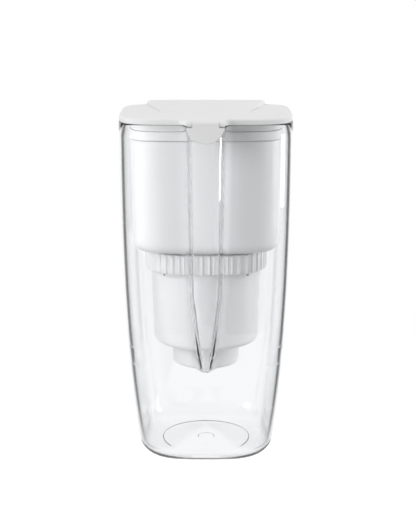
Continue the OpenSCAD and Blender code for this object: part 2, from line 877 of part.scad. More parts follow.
module fill_hatch() {
    front = barrel_y;
    low = hatch_half_w(front);
    wide = hatch_half_w(hatch_back);
    color("white")
        difference() {
            union() {
                intersection() {
                    loft([
                        [[-low, front, hatch_z], [low, front, hatch_z],
                            [wide, hatch_back, hatch_z], [-wide, hatch_back, hatch_z]],
                        [[-low, front, lid_top_z], [low, front, lid_top_z],
                            [wide - hatch_bevel, hatch_back, lid_top_z + hatch_rise],
                            [hatch_bevel - wide, hatch_back, lid_top_z + hatch_rise]]
                    ]);
                    translate([0, 0, hatch_z - past])
                        linear_extrude(lid_rise + hatch_rise + 2 * past)
                            polygon(flat(rim_ring(0, -hatch_overhang)));
                }
                bar(barrel_y, barrel_z, barrel_r, hatch_front_w);
            }
            bar(barrel_y, barrel_z, hatch_pin_r + pin_play, hatch_front_w + past);
        }
}

// Spout flap, hinged along its top edge

// The tongue's front outline: a round lower end, cut off below the ears, and a neck up to the pin
module tongue_outline() {
    bend_r = flap_w / 2;
    low_z = mouth_z - flap_lap;
    shoulder_z = flap_z - flap_barrel_r - play;
    intersection() {
        union() {
            translate([0, low_z + bend_r]) circle(r = bend_r);
            translate([-bend_r, low_z + bend_r]) square([flap_w, mouth_w]);
        }
        translate([-flap_w / 2, low_z - past]) square([flap_w, shoulder_z - low_z + past]);
    }
    translate([-flap_barrel_w / 2, shoulder_z - past])
        square([flap_barrel_w, flap_z - shoulder_z + past]);
}

module spout_flap() {
    color("white")
        difference() {
            union() {
                bar(flap_y, flap_z, flap_barrel_r, flap_barrel_w);
                translate([0, flap_back_y, 0])
                    rotate([90, 0, 0]) linear_extrude(flap_t) tongue_outline();
            }
            bar(flap_y, flap_z, flap_pin_r + pin_play, flap_barrel_w + past);
        }
}

jug();
handle_grip();
handle_liner();
handle_screws();
hopper();
neck_seal();
cartridge_collar();
cartridge_shell();
inlet_cap();
inlet_screen();
inlet_felt();
carbon_bed();
divider_felt();
resin_bed();
outlet_felt();
outlet_grid();
outlet_cup();
lid();
hatch_pin();
flap_pin();
fill_hatch();
spout_flap();
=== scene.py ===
"""Looks of a water filter pitcher: a clear jug with a white hopper, cartridge, lid and handle.

Sizes are in millimetres, as in the frame's construction, and turn into metres in make_mesh().
The spout points to -Y and +Z is up.
"""
import math

import bmesh
import bpy
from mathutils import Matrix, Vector

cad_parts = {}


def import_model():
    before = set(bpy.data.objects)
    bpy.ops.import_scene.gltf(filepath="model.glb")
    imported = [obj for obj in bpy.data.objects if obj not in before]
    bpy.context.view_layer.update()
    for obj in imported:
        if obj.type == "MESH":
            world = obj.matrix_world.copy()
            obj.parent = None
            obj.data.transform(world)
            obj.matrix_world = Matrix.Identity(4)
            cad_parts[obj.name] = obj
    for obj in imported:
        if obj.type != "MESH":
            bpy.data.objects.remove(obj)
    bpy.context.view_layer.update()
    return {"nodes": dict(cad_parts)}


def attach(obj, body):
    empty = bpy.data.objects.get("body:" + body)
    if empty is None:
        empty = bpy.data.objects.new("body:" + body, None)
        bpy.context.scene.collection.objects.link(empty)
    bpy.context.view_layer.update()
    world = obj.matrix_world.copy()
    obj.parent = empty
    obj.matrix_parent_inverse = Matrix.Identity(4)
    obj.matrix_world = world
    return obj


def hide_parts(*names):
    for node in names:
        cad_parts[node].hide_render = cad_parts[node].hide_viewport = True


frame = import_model()
MM = 0.001

# Jug
JUG_W, JUG_D, RIM_Z = 135.6, 136.0, 271.3
FOOT_W, FOOT_D = 107.0, 113.0
SWELL = 2.8
RIM_SQUARE, FOOT_SQUARE = 5.2, 3.6
BACK_SPREAD = 0.0003
JUG_WALL, JUG_FLOOR, FOOT_R = 3.2, 4.5, 13.0
RIM_R = 0.9
RECESS_R, RECESS_DEPTH = 37.5, 0.8
DIMPLE_R, DIMPLE_DEPTH = 7.0, 0.5

# Spout, as widths and reach at four heights
TIP_Z, CREASE_Z, BULGE_Z = 80.0, 97.0, 142.0
BULGE_SHARE = 0.72
TIP_ROOT_W, TIP_FACE_W = 10.0, 3.0
CREASE_ROOT_W, CREASE_FACE_W, CREASE_REACH = 18.0, 12.5, 12.0
RIM_ROOT_W, RIM_FACE_W, RIM_REACH = 33.0, 25.6, 14.0
CREASE_SOFT = 0.9
MOUTH_W, MOUTH_DEPTH = 20.0, 9.0
# Least half width of the spout's face, how much wider its root is, and least reach
LEAST_FACE, LEAST_FLARE, LEAST_REACH = 0.4, 0.6, 1.0
# Soft corners beside the spout: their size, how it changes with the inset, and the largest
# share of the side and of the face that they take up
ROOT_SOFT, FACE_SOFT, LEAST_SOFT, SOFT_CHANGE = 6.0, 5.5, 1.5, 0.5
ROOT_SIDE_SHARE, FACE_SIDE_SHARE, FACE_SHARE = 0.55, 0.4, 0.6
SPOUT_FRONT_Y = -JUG_D / 2 - RIM_REACH

# Hopper
HOPPER_Z, HOPPER_WALL, HOPPER_R = 171.0, 2.2, 9.0
BAND_H, BAND_INSET, BAND_STEP = 12.2, 6.4, 1.2
HOPPER_DRAFT = 0.8
GROOVE_DEPTH, GROOVE_HALF, GROOVE_FLOOR_HALF, GROOVE_SHARE = 1.4, 0.5, 0.35, 0.45
UNDERCUT, UNDERCUT_H = 0.9, 0.6
FLANGE_T, FLANGE_INSET, FLANGE_EDGE = 0.9, 2.0, 0.1
NECK_R, NECK_BORE_R, NECK_Z, NECK_BEVEL = 46.2, 43.6, 158.6, 1.0

# Cartridge
SEAL_Z, LIP_Z = 157.1, 155.1
COLLAR_Z, COLLAR_TOP_Z = 153.2, 168.6
COLLAR_R, COLLAR_BORE_R, COLLAR_LIP_R = 49.4, 47.4, 45.55
COLLAR_SQUARE = 2.8
RIB_R, RIB_SPREAD, RIB_COUNT = 0.9, 1.35, 56
SHELL_Z, SHELL_R, SHELL_LOW_R, SHELL_WALL = 89.5, 45.4, 43.6, 2.0
SHELL_EDGE_R, OUTLET_R, SHELL_FLANGE_R = 5.0, 20.0, 47.0
SLOT_Z, SLOT_H, SLOT_DEPTH = 148.8, 1.2, 0.5
SLOT_WIDTH, SLOT_TURN, AIR_HOLE_R, AIR_HOLE_TURN = 22.0, 38.0, 0.9, 9.24
CUP_Z, CUP_R, CUP_WALL, CUP_EDGE_R = 70.0, 27.4, 2.0, 3.0
CONE_R, CONE_TIP_R, CONE_H = 12.0, 1.5, 10.0
DRIP_HOLE_R, DRIP_HOLES = 1.5, 8
THREAD_PITCH, THREAD_DEPTH, THREAD_ROOT, THREAD_TURNS = 6.0, 0.8, 2.2, 1.1
# Run of a thread's flank per depth, how deep its foot is sunk in the wall, its share of
# the full depth at its ends, and the steps over which it fades in
THREAD_SLOPE, THREAD_SUNK, THREAD_END, THREAD_FADE = 0.6, 0.3, 0.15, 8

# Lid, hatch and spout flap
LID_TOP_Z, LID_FALL, LID_WALL = 276.0, 2.2, 1.6
SKIRT_Z, SKIRT_WALL, LID_INSET = 271.6, 1.35, 0.35
LID_EDGE_R = 1.8
LIP_DEPTH = 5.0
PLAY = 0.4
HATCH_FRONT, HATCH_FRONT_W, HATCH_BACK_W = 18.0, 68.6, 102.0
HATCH_OVERHANG, HATCH_RISE, HATCH_BEVEL, HATCH_Z = 2.5, 0.8, 2.5, 273.9
SEAT_Z, SEAT_T, SEAT_W, FILL_BACK = 273.8, 1.4, 6.0, 50.0
HATCH_BARREL_R, PIN_WALL = 1.6, 1.4
FLAP_W, FLAP_T, FLAP_LAP, FLAP_GAP = 27.7, 2.9, 2.8, 0.4
FLAP_BARREL_R, FLAP_BARREL_W = 2.0, 19.8
# Depth of the tongue's soft edge, and the size of its faces against its outline
FLAP_SOFT, FLAP_DRAW = 0.4, 0.97

# Handle
HANDLE_W, HANDLE_T, HANDLE_TOP_Z, HANDLE_LOW_Z = 26.0, 18.0, 262.0, 82.0
HANDLE_REACH, HANDLE_RAKE, HANDLE_BEND_R = 50.0, 7.0, 26.0
HANDLE_WALL, LINER_T, LUG_L = 2.4, 2.0, 12.0
HANDLE_EDGE_R, HANDLE_LIP_R, LINER_EDGE_R = 5.0, 1.2, 0.8
FIT = 0.15

# Points round the wall, along a small rounded corner and along a rounded edge
WALL_STEPS = 200
CORNER_STEPS = 6
EDGE_STEPS = 10
ROUND_STEPS = 192


# Small geometry

def between(low, high, share):
    return low + (high - low) * share


def lookup(x, table):
    """Value at x on the straight lines through a table of (x, value), held beyond its ends."""
    if x <= table[0][0]:
        return table[0][1]
    for (x0, v0), (x1, v1) in zip(table, table[1:]):
        if x <= x1:
            return between(v0, v1, (x - x0) / (x1 - x0))
    return table[-1][1]


def arc(cx, cy, r, start, end, steps):
    """Points on an arc, with angles in degrees."""
    angles = [math.radians(between(start, end, i / steps)) for i in range(steps + 1)]
    return [(cx + r * math.cos(t), cy + r * math.sin(t)) for t in angles]


def circle(cx, cy, r, steps):
    """Points once round a circle."""
    return arc(cx, cy, r, 0, 360 - 360 / steps, steps - 1)


def full_turn(steps):
    """Angles once round, in radians."""
    return [2 * math.pi * i / steps for i in range(steps)]


def soft_corner(a, corner, b, steps=CORNER_STEPS):
    """A rounded corner from a to b, drawn towards the sharp corner."""
    points = []
    for i in range(steps + 1):
        t = i / steps
        points.append(tuple(
            (1 - t) ** 2 * a[k] + 2 * t * (1 - t) * corner[k] + t * t * b[k] for k in (0, 1)
        ))
    return points


def toward(a, b, distance):
    """The point at a distance from a on the line to b."""
    length = math.dist(a, b)
    return (between(a[0], b[0], distance / length), between(a[1], b[1], distance / length))


# Outlines of the jug and of its rim

def swelled(z):
    return 1 - (1 - min(z, RIM_Z) / RIM_Z) ** SWELL


def half_w(z):
    return between(FOOT_W, JUG_W, swelled(z)) / 2


def half_d(z):
    return between(FOOT_D, JUG_D, swelled(z)) / 2


def squareness(z):
    return between(FOOT_SQUARE, RIM_SQUARE, swelled(z))


def polar_point(a, b, n, angle):
    """A point of a superellipse, at an angle seen from its middle."""
    c, s = math.cos(angle), math.sin(angle)
    r = (abs(c / a) ** n + abs(s / b) ** n) ** (-1 / n)
    return (r * c, r * s)


def spread_out(point):
    """The point moved sideways, because the jug is wider at its back."""
    return (point[0] * (1 + BACK_SPREAD * point[1]), point[1])


def spout_size(z, tip, crease, rim):
    bulge = between(crease, rim, BULGE_SHARE)
    table = [(TIP_Z, tip), (CREASE_Z, crease), (BULGE_Z, bulge), (RIM_Z, rim)]
    near = [lookup(z + shift, table) for shift in (-CREASE_SOFT, 0, CREASE_SOFT)]
    return sum(near) / len(near)


def spout_ring_sizes(z, inset):
    """Half widths of the spout's root and face, and its reach, moved in by inset."""
    root = spout_size(z, TIP_ROOT_W, CREASE_ROOT_W, RIM_ROOT_W) / 2
    face = spout_size(z, TIP_FACE_W, CREASE_FACE_W, RIM_FACE_W) / 2
    out = spout_size(z, 0, CREASE_REACH, RIM_REACH)
    lean = math.atan2(root - face, max(out, LEAST_REACH))
    shrink = inset * (1 - math.sin(lean)) / math.cos(lean)
    face = max(face - shrink, LEAST_FACE)
    return max(root - shrink, face + LEAST_FLARE), face, out


def jug_ring(z, inset, height=None):
    """The jug's outline with the spout, from the spout's right side round the back to its left."""
    a, b, n = half_w(z) - inset, half_d(z) - inset, squareness(z)
    root, face, out = spout_ring_sizes(z, inset)
    root_y = -b * (1 - (root / a) ** n) ** (1 / n)
    front = -b - out
    side = math.dist((root, root_y), (face, front))
    root_soft = min(ROOT_SOFT + inset * SOFT_CHANGE, side * ROOT_SIDE_SHARE)
    face_soft = max(FACE_SOFT - inset * SOFT_CHANGE, LEAST_SOFT)
    face_soft = min(face_soft, side * FACE_SIDE_SHARE, face * FACE_SHARE)
    x = root + root_soft
    start = math.atan2(-b * (1 - (x / a) ** n) ** (1 / n), x)
    wall = [
        spread_out(polar_point(a, b, n, between(start, math.pi - start, i / WALL_STEPS)))
        for i in range(WALL_STEPS + 1)
    ]
    corners = [(-root, root_y), (-face, front), (face, front), (root, root_y)]
    ring = wall + soft_corner(
        wall[-1], corners[0], toward(corners[0], corners[1], root_soft))[1:]
    ring += soft_corner(toward(corners[1], corners[0], face_soft), corners[1],
                        toward(corners[1], corners[2], face_soft))
    ring += soft_corner(toward(corners[2], corners[1], face_soft), corners[2],
                        toward(corners[2], corners[3], face_soft))
    ring += soft_corner(
        toward(corners[3], corners[2], root_soft), corners[3], wall[0])[:-1]
    return [(p[0], p[1], z if height is None else height) for p in ring]


def rim_ring(z, inset, steps=ROUND_STEPS):
    """The rim's outline without the spout."""
    a, b = JUG_W / 2 - inset, JUG_D / 2 - inset
    return [(*spread_out(polar_point(a, b, RIM_SQUARE, t)), z) for t in full_turn(steps)]


def round_ring(z, r, steps=ROUND_STEPS):
    return [(r * math.cos(t), r * math.sin(t), z) for t in full_turn(steps)]


def pulled_in(ring, r, z):
    """The ring's points, each on a circle of radius r at the angle it had."""
    points = []
    for x, y, _ in ring:
        length = math.hypot(x, y)
        points.append((x * r / length, y * r / length, z))
    return points


def rounded_edge(z, inset, r):
    """Height and inset along a rounded edge that ends level with the floor at z."""
    angles = [math.radians(i * 90 / EDGE_STEPS) for i in range(EDGE_STEPS + 1)]
    return [(z + r * (1 - math.cos(t)), inset + r * (1 - math.sin(t))) for t in angles]


# Meshes

def make_mesh(name, points, faces, material, sharp=35):
    """A new object from points in millimetres."""
    mesh = bpy.data.meshes.new(name)
    mesh.from_pydata([tuple(c * MM for c in p) for p in points], [], faces)
    mesh.validate()
    obj = bpy.data.objects.new(name, mesh)
    bpy.context.scene.collection.objects.link(obj)
    mesh.materials.append(material)
    tidy_normals(obj, sharp)
    return obj


def tidy_normals(obj, sharp=35):
    """Merges doubled points, turns the faces outward and shades them smooth up to an angle."""
    mesh = obj.data
    bm = bmesh.new()
    bm.from_mesh(mesh)
    bmesh.ops.remove_doubles(bm, verts=bm.verts, dist=1e-6)
    bmesh.ops.recalc_face_normals(bm, faces=bm.faces)
    bm.to_mesh(mesh)
    bm.free()
    mesh.shade_smooth()
    mesh.set_sharp_from_angle(angle=math.radians(sharp))


def strip_faces(low, high, count):
    """Faces between two rings of count points, given by their places in the list of rings."""
    steps = [(i, (i + 1) % count) for i in range(count)]
    return [
        (low * count + i, low * count + j, high * count + j, high * count + i) for i, j in steps
    ]


def ring_mesh(name, rings, pairs, fans, material, sharp=35):
    """A skin between the given pairs of rings, with the rings in fans filled in."""
    count = len(rings[0])
    points = [p for ring in rings for p in ring]
    faces = []
    for low, high in pairs:
        faces += strip_faces(low, high, count)
    for k in fans:
        middle = len(points)
        points.append(tuple(sum(p[c] for p in rings[k]) / count for c in range(3)))
        faces += [(middle, k * count + i, k * count + (i + 1) % count) for i in range(count)]
    return make_mesh(name, points, faces, material, sharp)


def loft(name, rings, material, caps=True, closed=False, sharp=35):
    """A skin through all rings, with its ends filled in, or closed from last to first."""
    last = len(rings) - 1
    pairs = [(k, k + 1) for k in range(last)]
    if closed:
        pairs.append((last, 0))
    return ring_mesh(name, rings, pairs, (0, last) if caps else (), material, sharp)


def closed_shell(name, outer, inner, material):
    """One closed skin from outer rings, then inner rings, with both middles filled in."""
    rings = outer + inner
    split = len(outer) - 1
    pairs = [(k, (k + 1) % len(rings)) for k in range(len(rings)) if k != split]
    return ring_mesh(name, rings, pairs, (split, split + 1), material)


def revolve(name, profile, material, steps):
    """A closed skin round the Z axis through (radius, height) points."""
    rings = [round_ring(z, r, steps) for r, z in profile]
    return loft(name, rings, material, caps=False, closed=True)


def column(name, low, high, material):
    """A straight column between two flat outlines with equally many points."""
    count = len(low)
    faces = strip_faces(0, 1, count) + [tuple(range(count)), tuple(range(count, 2 * count))]
    return make_mesh(name, low + high, faces, material)


def prism(name, outline, z0, z1, material):
    """A straight column on an outline of (x, y) points."""
    return column(name, [(*p, z0) for p in outline], [(*p, z1) for p in outline], material)


def box(name, low, high, material):
    outline = [(low[0], low[1]), (high[0], low[1]), (high[0], high[1]), (low[0], high[1])]
    return prism(name, outline, low[2], high[2], material)


def bar(name, y, z, r, x0, x1, material, steps=48):
    """A cylinder along X from x0 to x1."""
    rings = [
        [(x, y + r * math.cos(t), z + r * math.sin(t)) for t in full_turn(steps)]
        for x in (x0, x1)
    ]
    return loft(name, rings, material)


def joined(name, parts):
    """Several objects made into one."""
    bm = bmesh.new()
    for part in parts:
        bm.from_mesh(part.data)
    mesh = bpy.data.meshes.new(name)
    bm.to_mesh(mesh)
    bm.free()
    for material in parts[0].data.materials:
        mesh.materials.append(material)
    obj = bpy.data.objects.new(name, mesh)
    bpy.context.scene.collection.objects.link(obj)
    for part in parts:
        bpy.data.objects.remove(part)
    tidy_normals(obj)
    return obj


def combined(obj, tool, operation, sharp=35):
    """obj after a boolean with tool, which is used up."""
    modifier = obj.modifiers.new("cut", "BOOLEAN")
    modifier.operation = operation
    modifier.solver = "EXACT"
    modifier.object = tool
    depsgraph = bpy.context.evaluated_depsgraph_get()
    mesh = bpy.data.meshes.new_from_object(obj.evaluated_get(depsgraph))
    obj.modifiers.clear()
    obj.data = mesh
    bpy.data.objects.remove(tool)
    tidy_normals(obj, sharp)
    return obj


def placed(obj, body, slot, *replaced):
    """Attaches a piece to the body it moves with, and hides the nodes it stands for. The slot is
    not used.
    """
    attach(obj, body)
    if replaced:
        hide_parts(*replaced)
    return obj


# Materials

class Nodes:
    """A short way to add and link shader nodes."""

    def __init__(self, tree):
        self.tree = tree
        tree.nodes.clear()

    def add(self, kind, **values):
        node = self.tree.nodes.new(kind)
        for key, value in values.items():
            if hasattr(node, key):
                setattr(node, key, value)
            else:
                node.inputs[key.replace("_", " ")].default_value = value
        return node

    def link(self, source, target):
        self.tree.links.new(source, target)

    def surface(self, shader):
        out = self.add("ShaderNodeOutputMaterial")
        self.link(shader, out.inputs["Surface"])
        return out

    def mix(self, share, low, high):
        """The shader low where share is 0, and high where it is 1."""
        node = self.add("ShaderNodeMixShader")
        self.link(share, node.inputs["Fac"])
        self.link(low, node.inputs[1])
        self.link(high, node.inputs[2])
        return node.outputs["Shader"]


def new_material(name):
    material = bpy.data.materials.new(name)
    material.use_nodes = True
    return material, Nodes(material.node_tree)


def noise_field(n, scale, detail=3.0):
    coords = n.add("ShaderNodeTexCoord")
    noise = n.add("ShaderNodeTexNoise", Scale=scale, Detail=detail)
    n.link(coords.outputs["Object"], noise.inputs["Vector"])
    return noise.outputs["Fac"]


def spread(n, value, low, high):
    """value, from 0 to 1, mapped between low and high."""
    span = n.add("ShaderNodeMapRange")
    span.inputs["To Min"].default_value = low
    span.inputs["To Max"].default_value = high
    n.link(value, span.inputs["Value"])
    return span.outputs["Result"]


def shade_mix(n, value, dark, light):
    """A colour between two close shades."""
    mix = n.add("ShaderNodeMix", data_type="RGBA")
    mix.inputs["A"].default_value = (*dark, 1)
    mix.inputs["B"].default_value = (*light, 1)
    n.link(value, mix.inputs["Factor"])
    return mix.outputs["Result"]


def bump(n, height, distance, strength=1.0):
    node = n.add("ShaderNodeBump", Strength=strength, Distance=distance)
    n.link(height, node.inputs["Height"])
    return node.outputs["Normal"]


def moulded_plastic(name, colour, roughness, grain_scale, grain_depth, gloss=0.5):
    """Moulded plastic: a fine grain, faint flow clouds and slightly uneven gloss."""
    variation = 0.012
    material, n = new_material(name)
    clouds = noise_field(n, 18.0)
    grain = noise_field(n, grain_scale, 2.0)
    dark = tuple(c * (1 - variation) for c in colour)
    light = tuple(min(c * (1 + variation), 1) for c in colour)
    shader = n.add("ShaderNodeBsdfPrincipled")
    shader.inputs["Specular IOR Level"].default_value = gloss
    n.link(shade_mix(n, clouds, dark, light), shader.inputs["Base Color"])
    n.link(spread(n, clouds, roughness * 0.9, roughness * 1.1), shader.inputs["Roughness"])
    n.link(bump(n, grain, grain_depth), shader.inputs["Normal"])
    n.surface(shader.outputs["BSDF"])
    return material


def clear_plastic(name):
    """Polished clear plastic with a faint ripple, which lets the lamps through."""
    material, n = new_material(name)
    shader = n.add("ShaderNodeBsdfPrincipled")
    shader.inputs["Base Color"].default_value = (0.99, 0.994, 1.0, 1)
    shader.inputs["Transmission Weight"].default_value = 1.0
    shader.inputs["Roughness"].default_value = 0.0
    shader.inputs["IOR"].default_value = 1.5
    ripple = noise_field(n, 9.0, 0.0)
    n.link(bump(n, ripple, 0.0004, 0.3), shader.inputs["Normal"])
    path = n.add("ShaderNodeLightPath")
    window = n.add("ShaderNodeBsdfTransparent")
    window.inputs["Color"].default_value = (0.95, 0.955, 0.96, 1)
    out = n.surface(
        n.mix(path.outputs["Is Shadow Ray"], shader.outputs["BSDF"], window.outputs["BSDF"]))
    depth = n.add("ShaderNodeVolumeAbsorption", Density=16.0)
    depth.inputs["Color"].default_value = (0.56, 0.59, 0.63, 1)
    n.link(depth.outputs["Volume"], out.inputs["Volume"])
    return material


def granules(name, dark, light, size, roughness, depth):
    """Loose grains or beads, one cell of a Voronoi pattern each."""
    material, n = new_material(name)
    coords = n.add("ShaderNodeTexCoord")
    cells = n.add("ShaderNodeTexVoronoi", Scale=1 / (size * MM))
    n.link(coords.outputs["Object"], cells.inputs["Vector"])
    shader = n.add("ShaderNodeBsdfPrincipled", Roughness=roughness)
    tone = n.add("ShaderNodeSeparateColor")
    n.link(cells.outputs["Color"], tone.inputs["Color"])
    n.link(shade_mix(n, tone.outputs["Red"], dark, light), shader.inputs["Base Color"])
    falling = n.add("ShaderNodeMath", operation="SUBTRACT")
    falling.inputs[0].default_value = 1
    n.link(cells.outputs["Distance"], falling.inputs[1])
    n.link(bump(n, falling.outputs["Value"], depth), shader.inputs["Normal"])
    n.surface(shader.outputs["BSDF"])
    return material


def felt_material(name):
    """Pressed fibre with a fuzzy sheen."""
    material, n = new_material(name)
    shader = n.add("ShaderNodeBsdfPrincipled", Roughness=0.95)
    shader.inputs["Sheen Weight"].default_value = 0.4
    fibres = noise_field(n, 1400.0, 4.0)
    n.link(shade_mix(n, fibres, (0.78, 0.76, 0.7), (0.92, 0.9, 0.85)), shader.inputs["Base Color"])
    n.link(bump(n, fibres, 0.0004), shader.inputs["Normal"])
    n.surface(shader.outputs["BSDF"])
    return material


def steel_material(name):
    """Brushed steel, with fine streaks along X."""
    material, n = new_material(name)
    coords = n.add("ShaderNodeTexCoord")
    stretch = n.add("ShaderNodeMapping")
    stretch.inputs["Scale"].default_value = (40, 1500, 1500)
    streaks = n.add("ShaderNodeTexNoise", Scale=1.0, Detail=4.0)
    n.link(coords.outputs["Object"], stretch.inputs["Vector"])
    n.link(stretch.outputs["Vector"], streaks.inputs["Vector"])
    shader = n.add("ShaderNodeBsdfPrincipled")
    shader.inputs["Metallic"].default_value = 1.0
    n.link(shade_mix(n, streaks.outputs["Fac"], (0.56, 0.56, 0.58), (0.68, 0.68, 0.7)),
           shader.inputs["Base Color"])
    n.link(spread(n, streaks.outputs["Fac"], 0.25, 0.42), shader.inputs["Roughness"])
    n.link(bump(n, streaks.outputs["Fac"], 0.00002), shader.inputs["Normal"])
    n.surface(shader.outputs["BSDF"])
    return material


CLEAR = clear_plastic("clear_plastic")
LID_WHITE = moulded_plastic("lid_plastic", (0.84, 0.84, 0.84), 0.42, 900.0, 0.00002, 0.4)
HOPPER_WHITE = moulded_plastic("hopper_plastic", (0.80, 0.80, 0.80), 0.35, 700.0, 0.00001)
CARTRIDGE_WHITE = moulded_plastic("cartridge_plastic", (0.75, 0.75, 0.75), 0.38, 700.0, 0.00001)
HANDLE_WHITE = moulded_plastic("handle_plastic", (0.80, 0.805, 0.81), 0.5, 1100.0, 0.00004, 0.4)
LINER_GREY = moulded_plastic("liner_plastic", (0.52, 0.54, 0.57), 0.6, 1600.0, 0.00008, 0.35)
SEAL_GREY = moulded_plastic("seal_rubber", (0.28, 0.3, 0.33), 0.65, 1500.0, 0.00004, 0.3)
STEEL = steel_material("steel")
FELT = felt_material("felt")
CARBON = granules("carbon", (0.012, 0.012, 0.013), (0.05, 0.05, 0.052), 1.3, 0.75, 0.0006)
RESIN = granules("resin", (0.42, 0.2, 0.05), (0.6, 0.36, 0.12), 0.9, 0.35, 0.0005)


# Jug

def jug():
    """The clear wall as one skin, from under the floor, up the outside and down the inside."""
    levels = [between(FOOT_R, TIP_Z, k / 8) for k in range(1, 8)]
    for z in (TIP_Z, CREASE_Z):
        levels += [z - 2 * CREASE_SOFT, z - CREASE_SOFT, z, z + CREASE_SOFT, z + 2 * CREASE_SOFT]
    levels += [between(CREASE_Z + 2 * CREASE_SOFT, BULGE_Z, k / 6) for k in range(1, 7)]
    levels += [between(BULGE_Z, RIM_Z - RIM_R, k / 14) for k in range(1, 15)]
    inside = [z + JUG_FLOOR for z in levels if z < TIP_Z - 2 * CREASE_SOFT - JUG_FLOOR]
    inside += [z for z in levels if z >= TIP_Z - 2 * CREASE_SOFT]
    rim = [(RIM_Z + dz, inset) for inset, dz in arc(RIM_R, -RIM_R, RIM_R, 180, 90, 4)]
    rim += [(RIM_Z + dz, inset)
            for inset, dz in arc(JUG_WALL - RIM_R, -RIM_R, RIM_R, 90, 0, 4)]
    profile = rounded_edge(0, 0, FOOT_R) + [(z, 0) for z in levels] + rim[1:]
    profile += [(z, JUG_WALL) for z in inside[::-1]][1:]
    profile += rounded_edge(JUG_FLOOR, JUG_WALL, FOOT_R - JUG_WALL)[::-1]
    rings = [jug_ring(z, inset) for z, inset in profile]
    under = rings[0]
    step = 0.6
    recess = [
        pulled_in(under, DIMPLE_R - step, RECESS_DEPTH + DIMPLE_DEPTH),
        pulled_in(under, DIMPLE_R, RECESS_DEPTH),
        pulled_in(under, RECESS_R - step, RECESS_DEPTH),
        pulled_in(under, RECESS_R, 0),
    ]
    sharp = 40
    obj = loft("jug_wall", recess + rings, CLEAR, sharp=sharp)
    mouth = round_mouth(RIM_Z - MOUTH_DEPTH + MOUTH_W / 2)
    combined(obj, mouth, "DIFFERENCE", sharp)
    arm_w = HANDLE_W - 2 * HANDLE_WALL - 2 * FIT
    arm_h = HANDLE_T - HANDLE_WALL - LINER_T
    lugs = []
    for z in (HANDLE_TOP_Z - HANDLE_WALL - arm_h / 2, HANDLE_LOW_Z + HANDLE_WALL + arm_h / 2):
        y = half_d(z)
        lugs.append(box("lug", (-arm_w / 2, y, z - arm_h / 2 + FIT),
                        (arm_w / 2, y + LUG_L, z + arm_h / 2 - FIT), CLEAR))
    return joined("jug_clear", [obj] + lugs)


def round_mouth(z, steps=64):
    """A short cylinder along Y through the spout's front wall."""
    r = MOUTH_W / 2
    rings = [
        [(r * math.cos(t), y, z + r * math.sin(t)) for t in full_turn(steps)]
        for y in (SPOUT_FRONT_Y - 1, SPOUT_FRONT_Y + JUG_WALL + 2)
    ]
    return loft("mouth", rings, CLEAR)


# Hopper

def helix_ridge(name, z, r, depth, material, steps_per_turn=72):
    """A screw ridge round the Z axis that fades at its ends, with its foot at radius r."""
    tip = THREAD_ROOT - 2 * abs(depth) * THREAD_SLOPE
    section = [(0, -THREAD_ROOT), (depth, -tip), (depth, tip), (0, THREAD_ROOT)]
    count = int(steps_per_turn * THREAD_TURNS)
    rings = []
    for i in range(count + 1):
        t = 2 * math.pi * i / steps_per_turn
        fade = min(1.0, THREAD_END + min(i, count - i) / THREAD_FADE)
        rise = z + THREAD_PITCH * i / steps_per_turn
        rings.append([
            ((r + d * fade) * math.cos(t), (r + d * fade) * math.sin(t), rise + h / 2)
            for d, h in section
        ])
    return loft(name, rings, material)


def hopper():
    """The hopper's wall, rim band, flange, floor and neck as one skin."""
    wall_inset = BAND_INSET + BAND_STEP
    low_inset = wall_inset + HOPPER_DRAFT
    bore_inset = BAND_INSET + HOPPER_WALL
    band_z = RIM_Z - BAND_H
    groove_z = RIM_Z - BAND_H * GROOVE_SHARE
    groove_inset = BAND_INSET + GROOVE_DEPTH
    soft = 0.3
    outside = [
        (band_z - UNDERCUT_H - soft, wall_inset), (band_z - UNDERCUT_H, wall_inset + UNDERCUT),
        (band_z, wall_inset + UNDERCUT),
        (band_z, BAND_INSET + soft), (band_z + soft, BAND_INSET),
        (groove_z - GROOVE_HALF, BAND_INSET), (groove_z - GROOVE_FLOOR_HALF, groove_inset),
        (groove_z + GROOVE_FLOOR_HALF, groove_inset), (groove_z + GROOVE_HALF, BAND_INSET),
        (RIM_Z - soft, BAND_INSET),
        (RIM_Z, BAND_INSET - soft), (RIM_Z, FLANGE_INSET + FLANGE_EDGE),
        (RIM_Z + 2 * FLANGE_EDGE, FLANGE_INSET), (RIM_Z + FLANGE_T - soft, FLANGE_INSET),
        (RIM_Z + FLANGE_T, FLANGE_INSET + soft), (RIM_Z + FLANGE_T, bore_inset - soft),
        (RIM_Z + FLANGE_T - soft, bore_inset), (band_z + HOPPER_WALL, bore_inset),
        (band_z, bore_inset + BAND_STEP),
    ]
    edge = rounded_edge(HOPPER_Z, low_inset, HOPPER_R)
    inner_edge = rounded_edge(HOPPER_Z + HOPPER_WALL, low_inset + HOPPER_WALL,
                              HOPPER_R - HOPPER_WALL)[::-1]
    rings = [round_ring(NECK_Z, NECK_BORE_R + soft), round_ring(NECK_Z, NECK_R - soft),
             round_ring(NECK_Z + soft, NECK_R), round_ring(HOPPER_Z - NECK_BEVEL, NECK_R),
             round_ring(HOPPER_Z, NECK_R + NECK_BEVEL)]
    rings += [rim_ring(z, inset) for z, inset in edge + outside + inner_edge]
    rings += [round_ring(HOPPER_Z + HOPPER_WALL, NECK_BORE_R + NECK_BEVEL),
              round_ring(HOPPER_Z + HOPPER_WALL - NECK_BEVEL, NECK_BORE_R),
              round_ring(NECK_Z + soft, NECK_BORE_R)]
    wall = loft("hopper_wall", rings, HOPPER_WHITE, caps=False, closed=True)
    thread_z = SEAL_Z + THREAD_ROOT / 2 + PLAY + THREAD_PITCH / 2
    ridge = helix_ridge("hopper_thread", thread_z, NECK_R - THREAD_SUNK,
                        THREAD_SUNK + THREAD_DEPTH, HOPPER_WHITE)
    return joined("hopper_white", [wall, ridge])


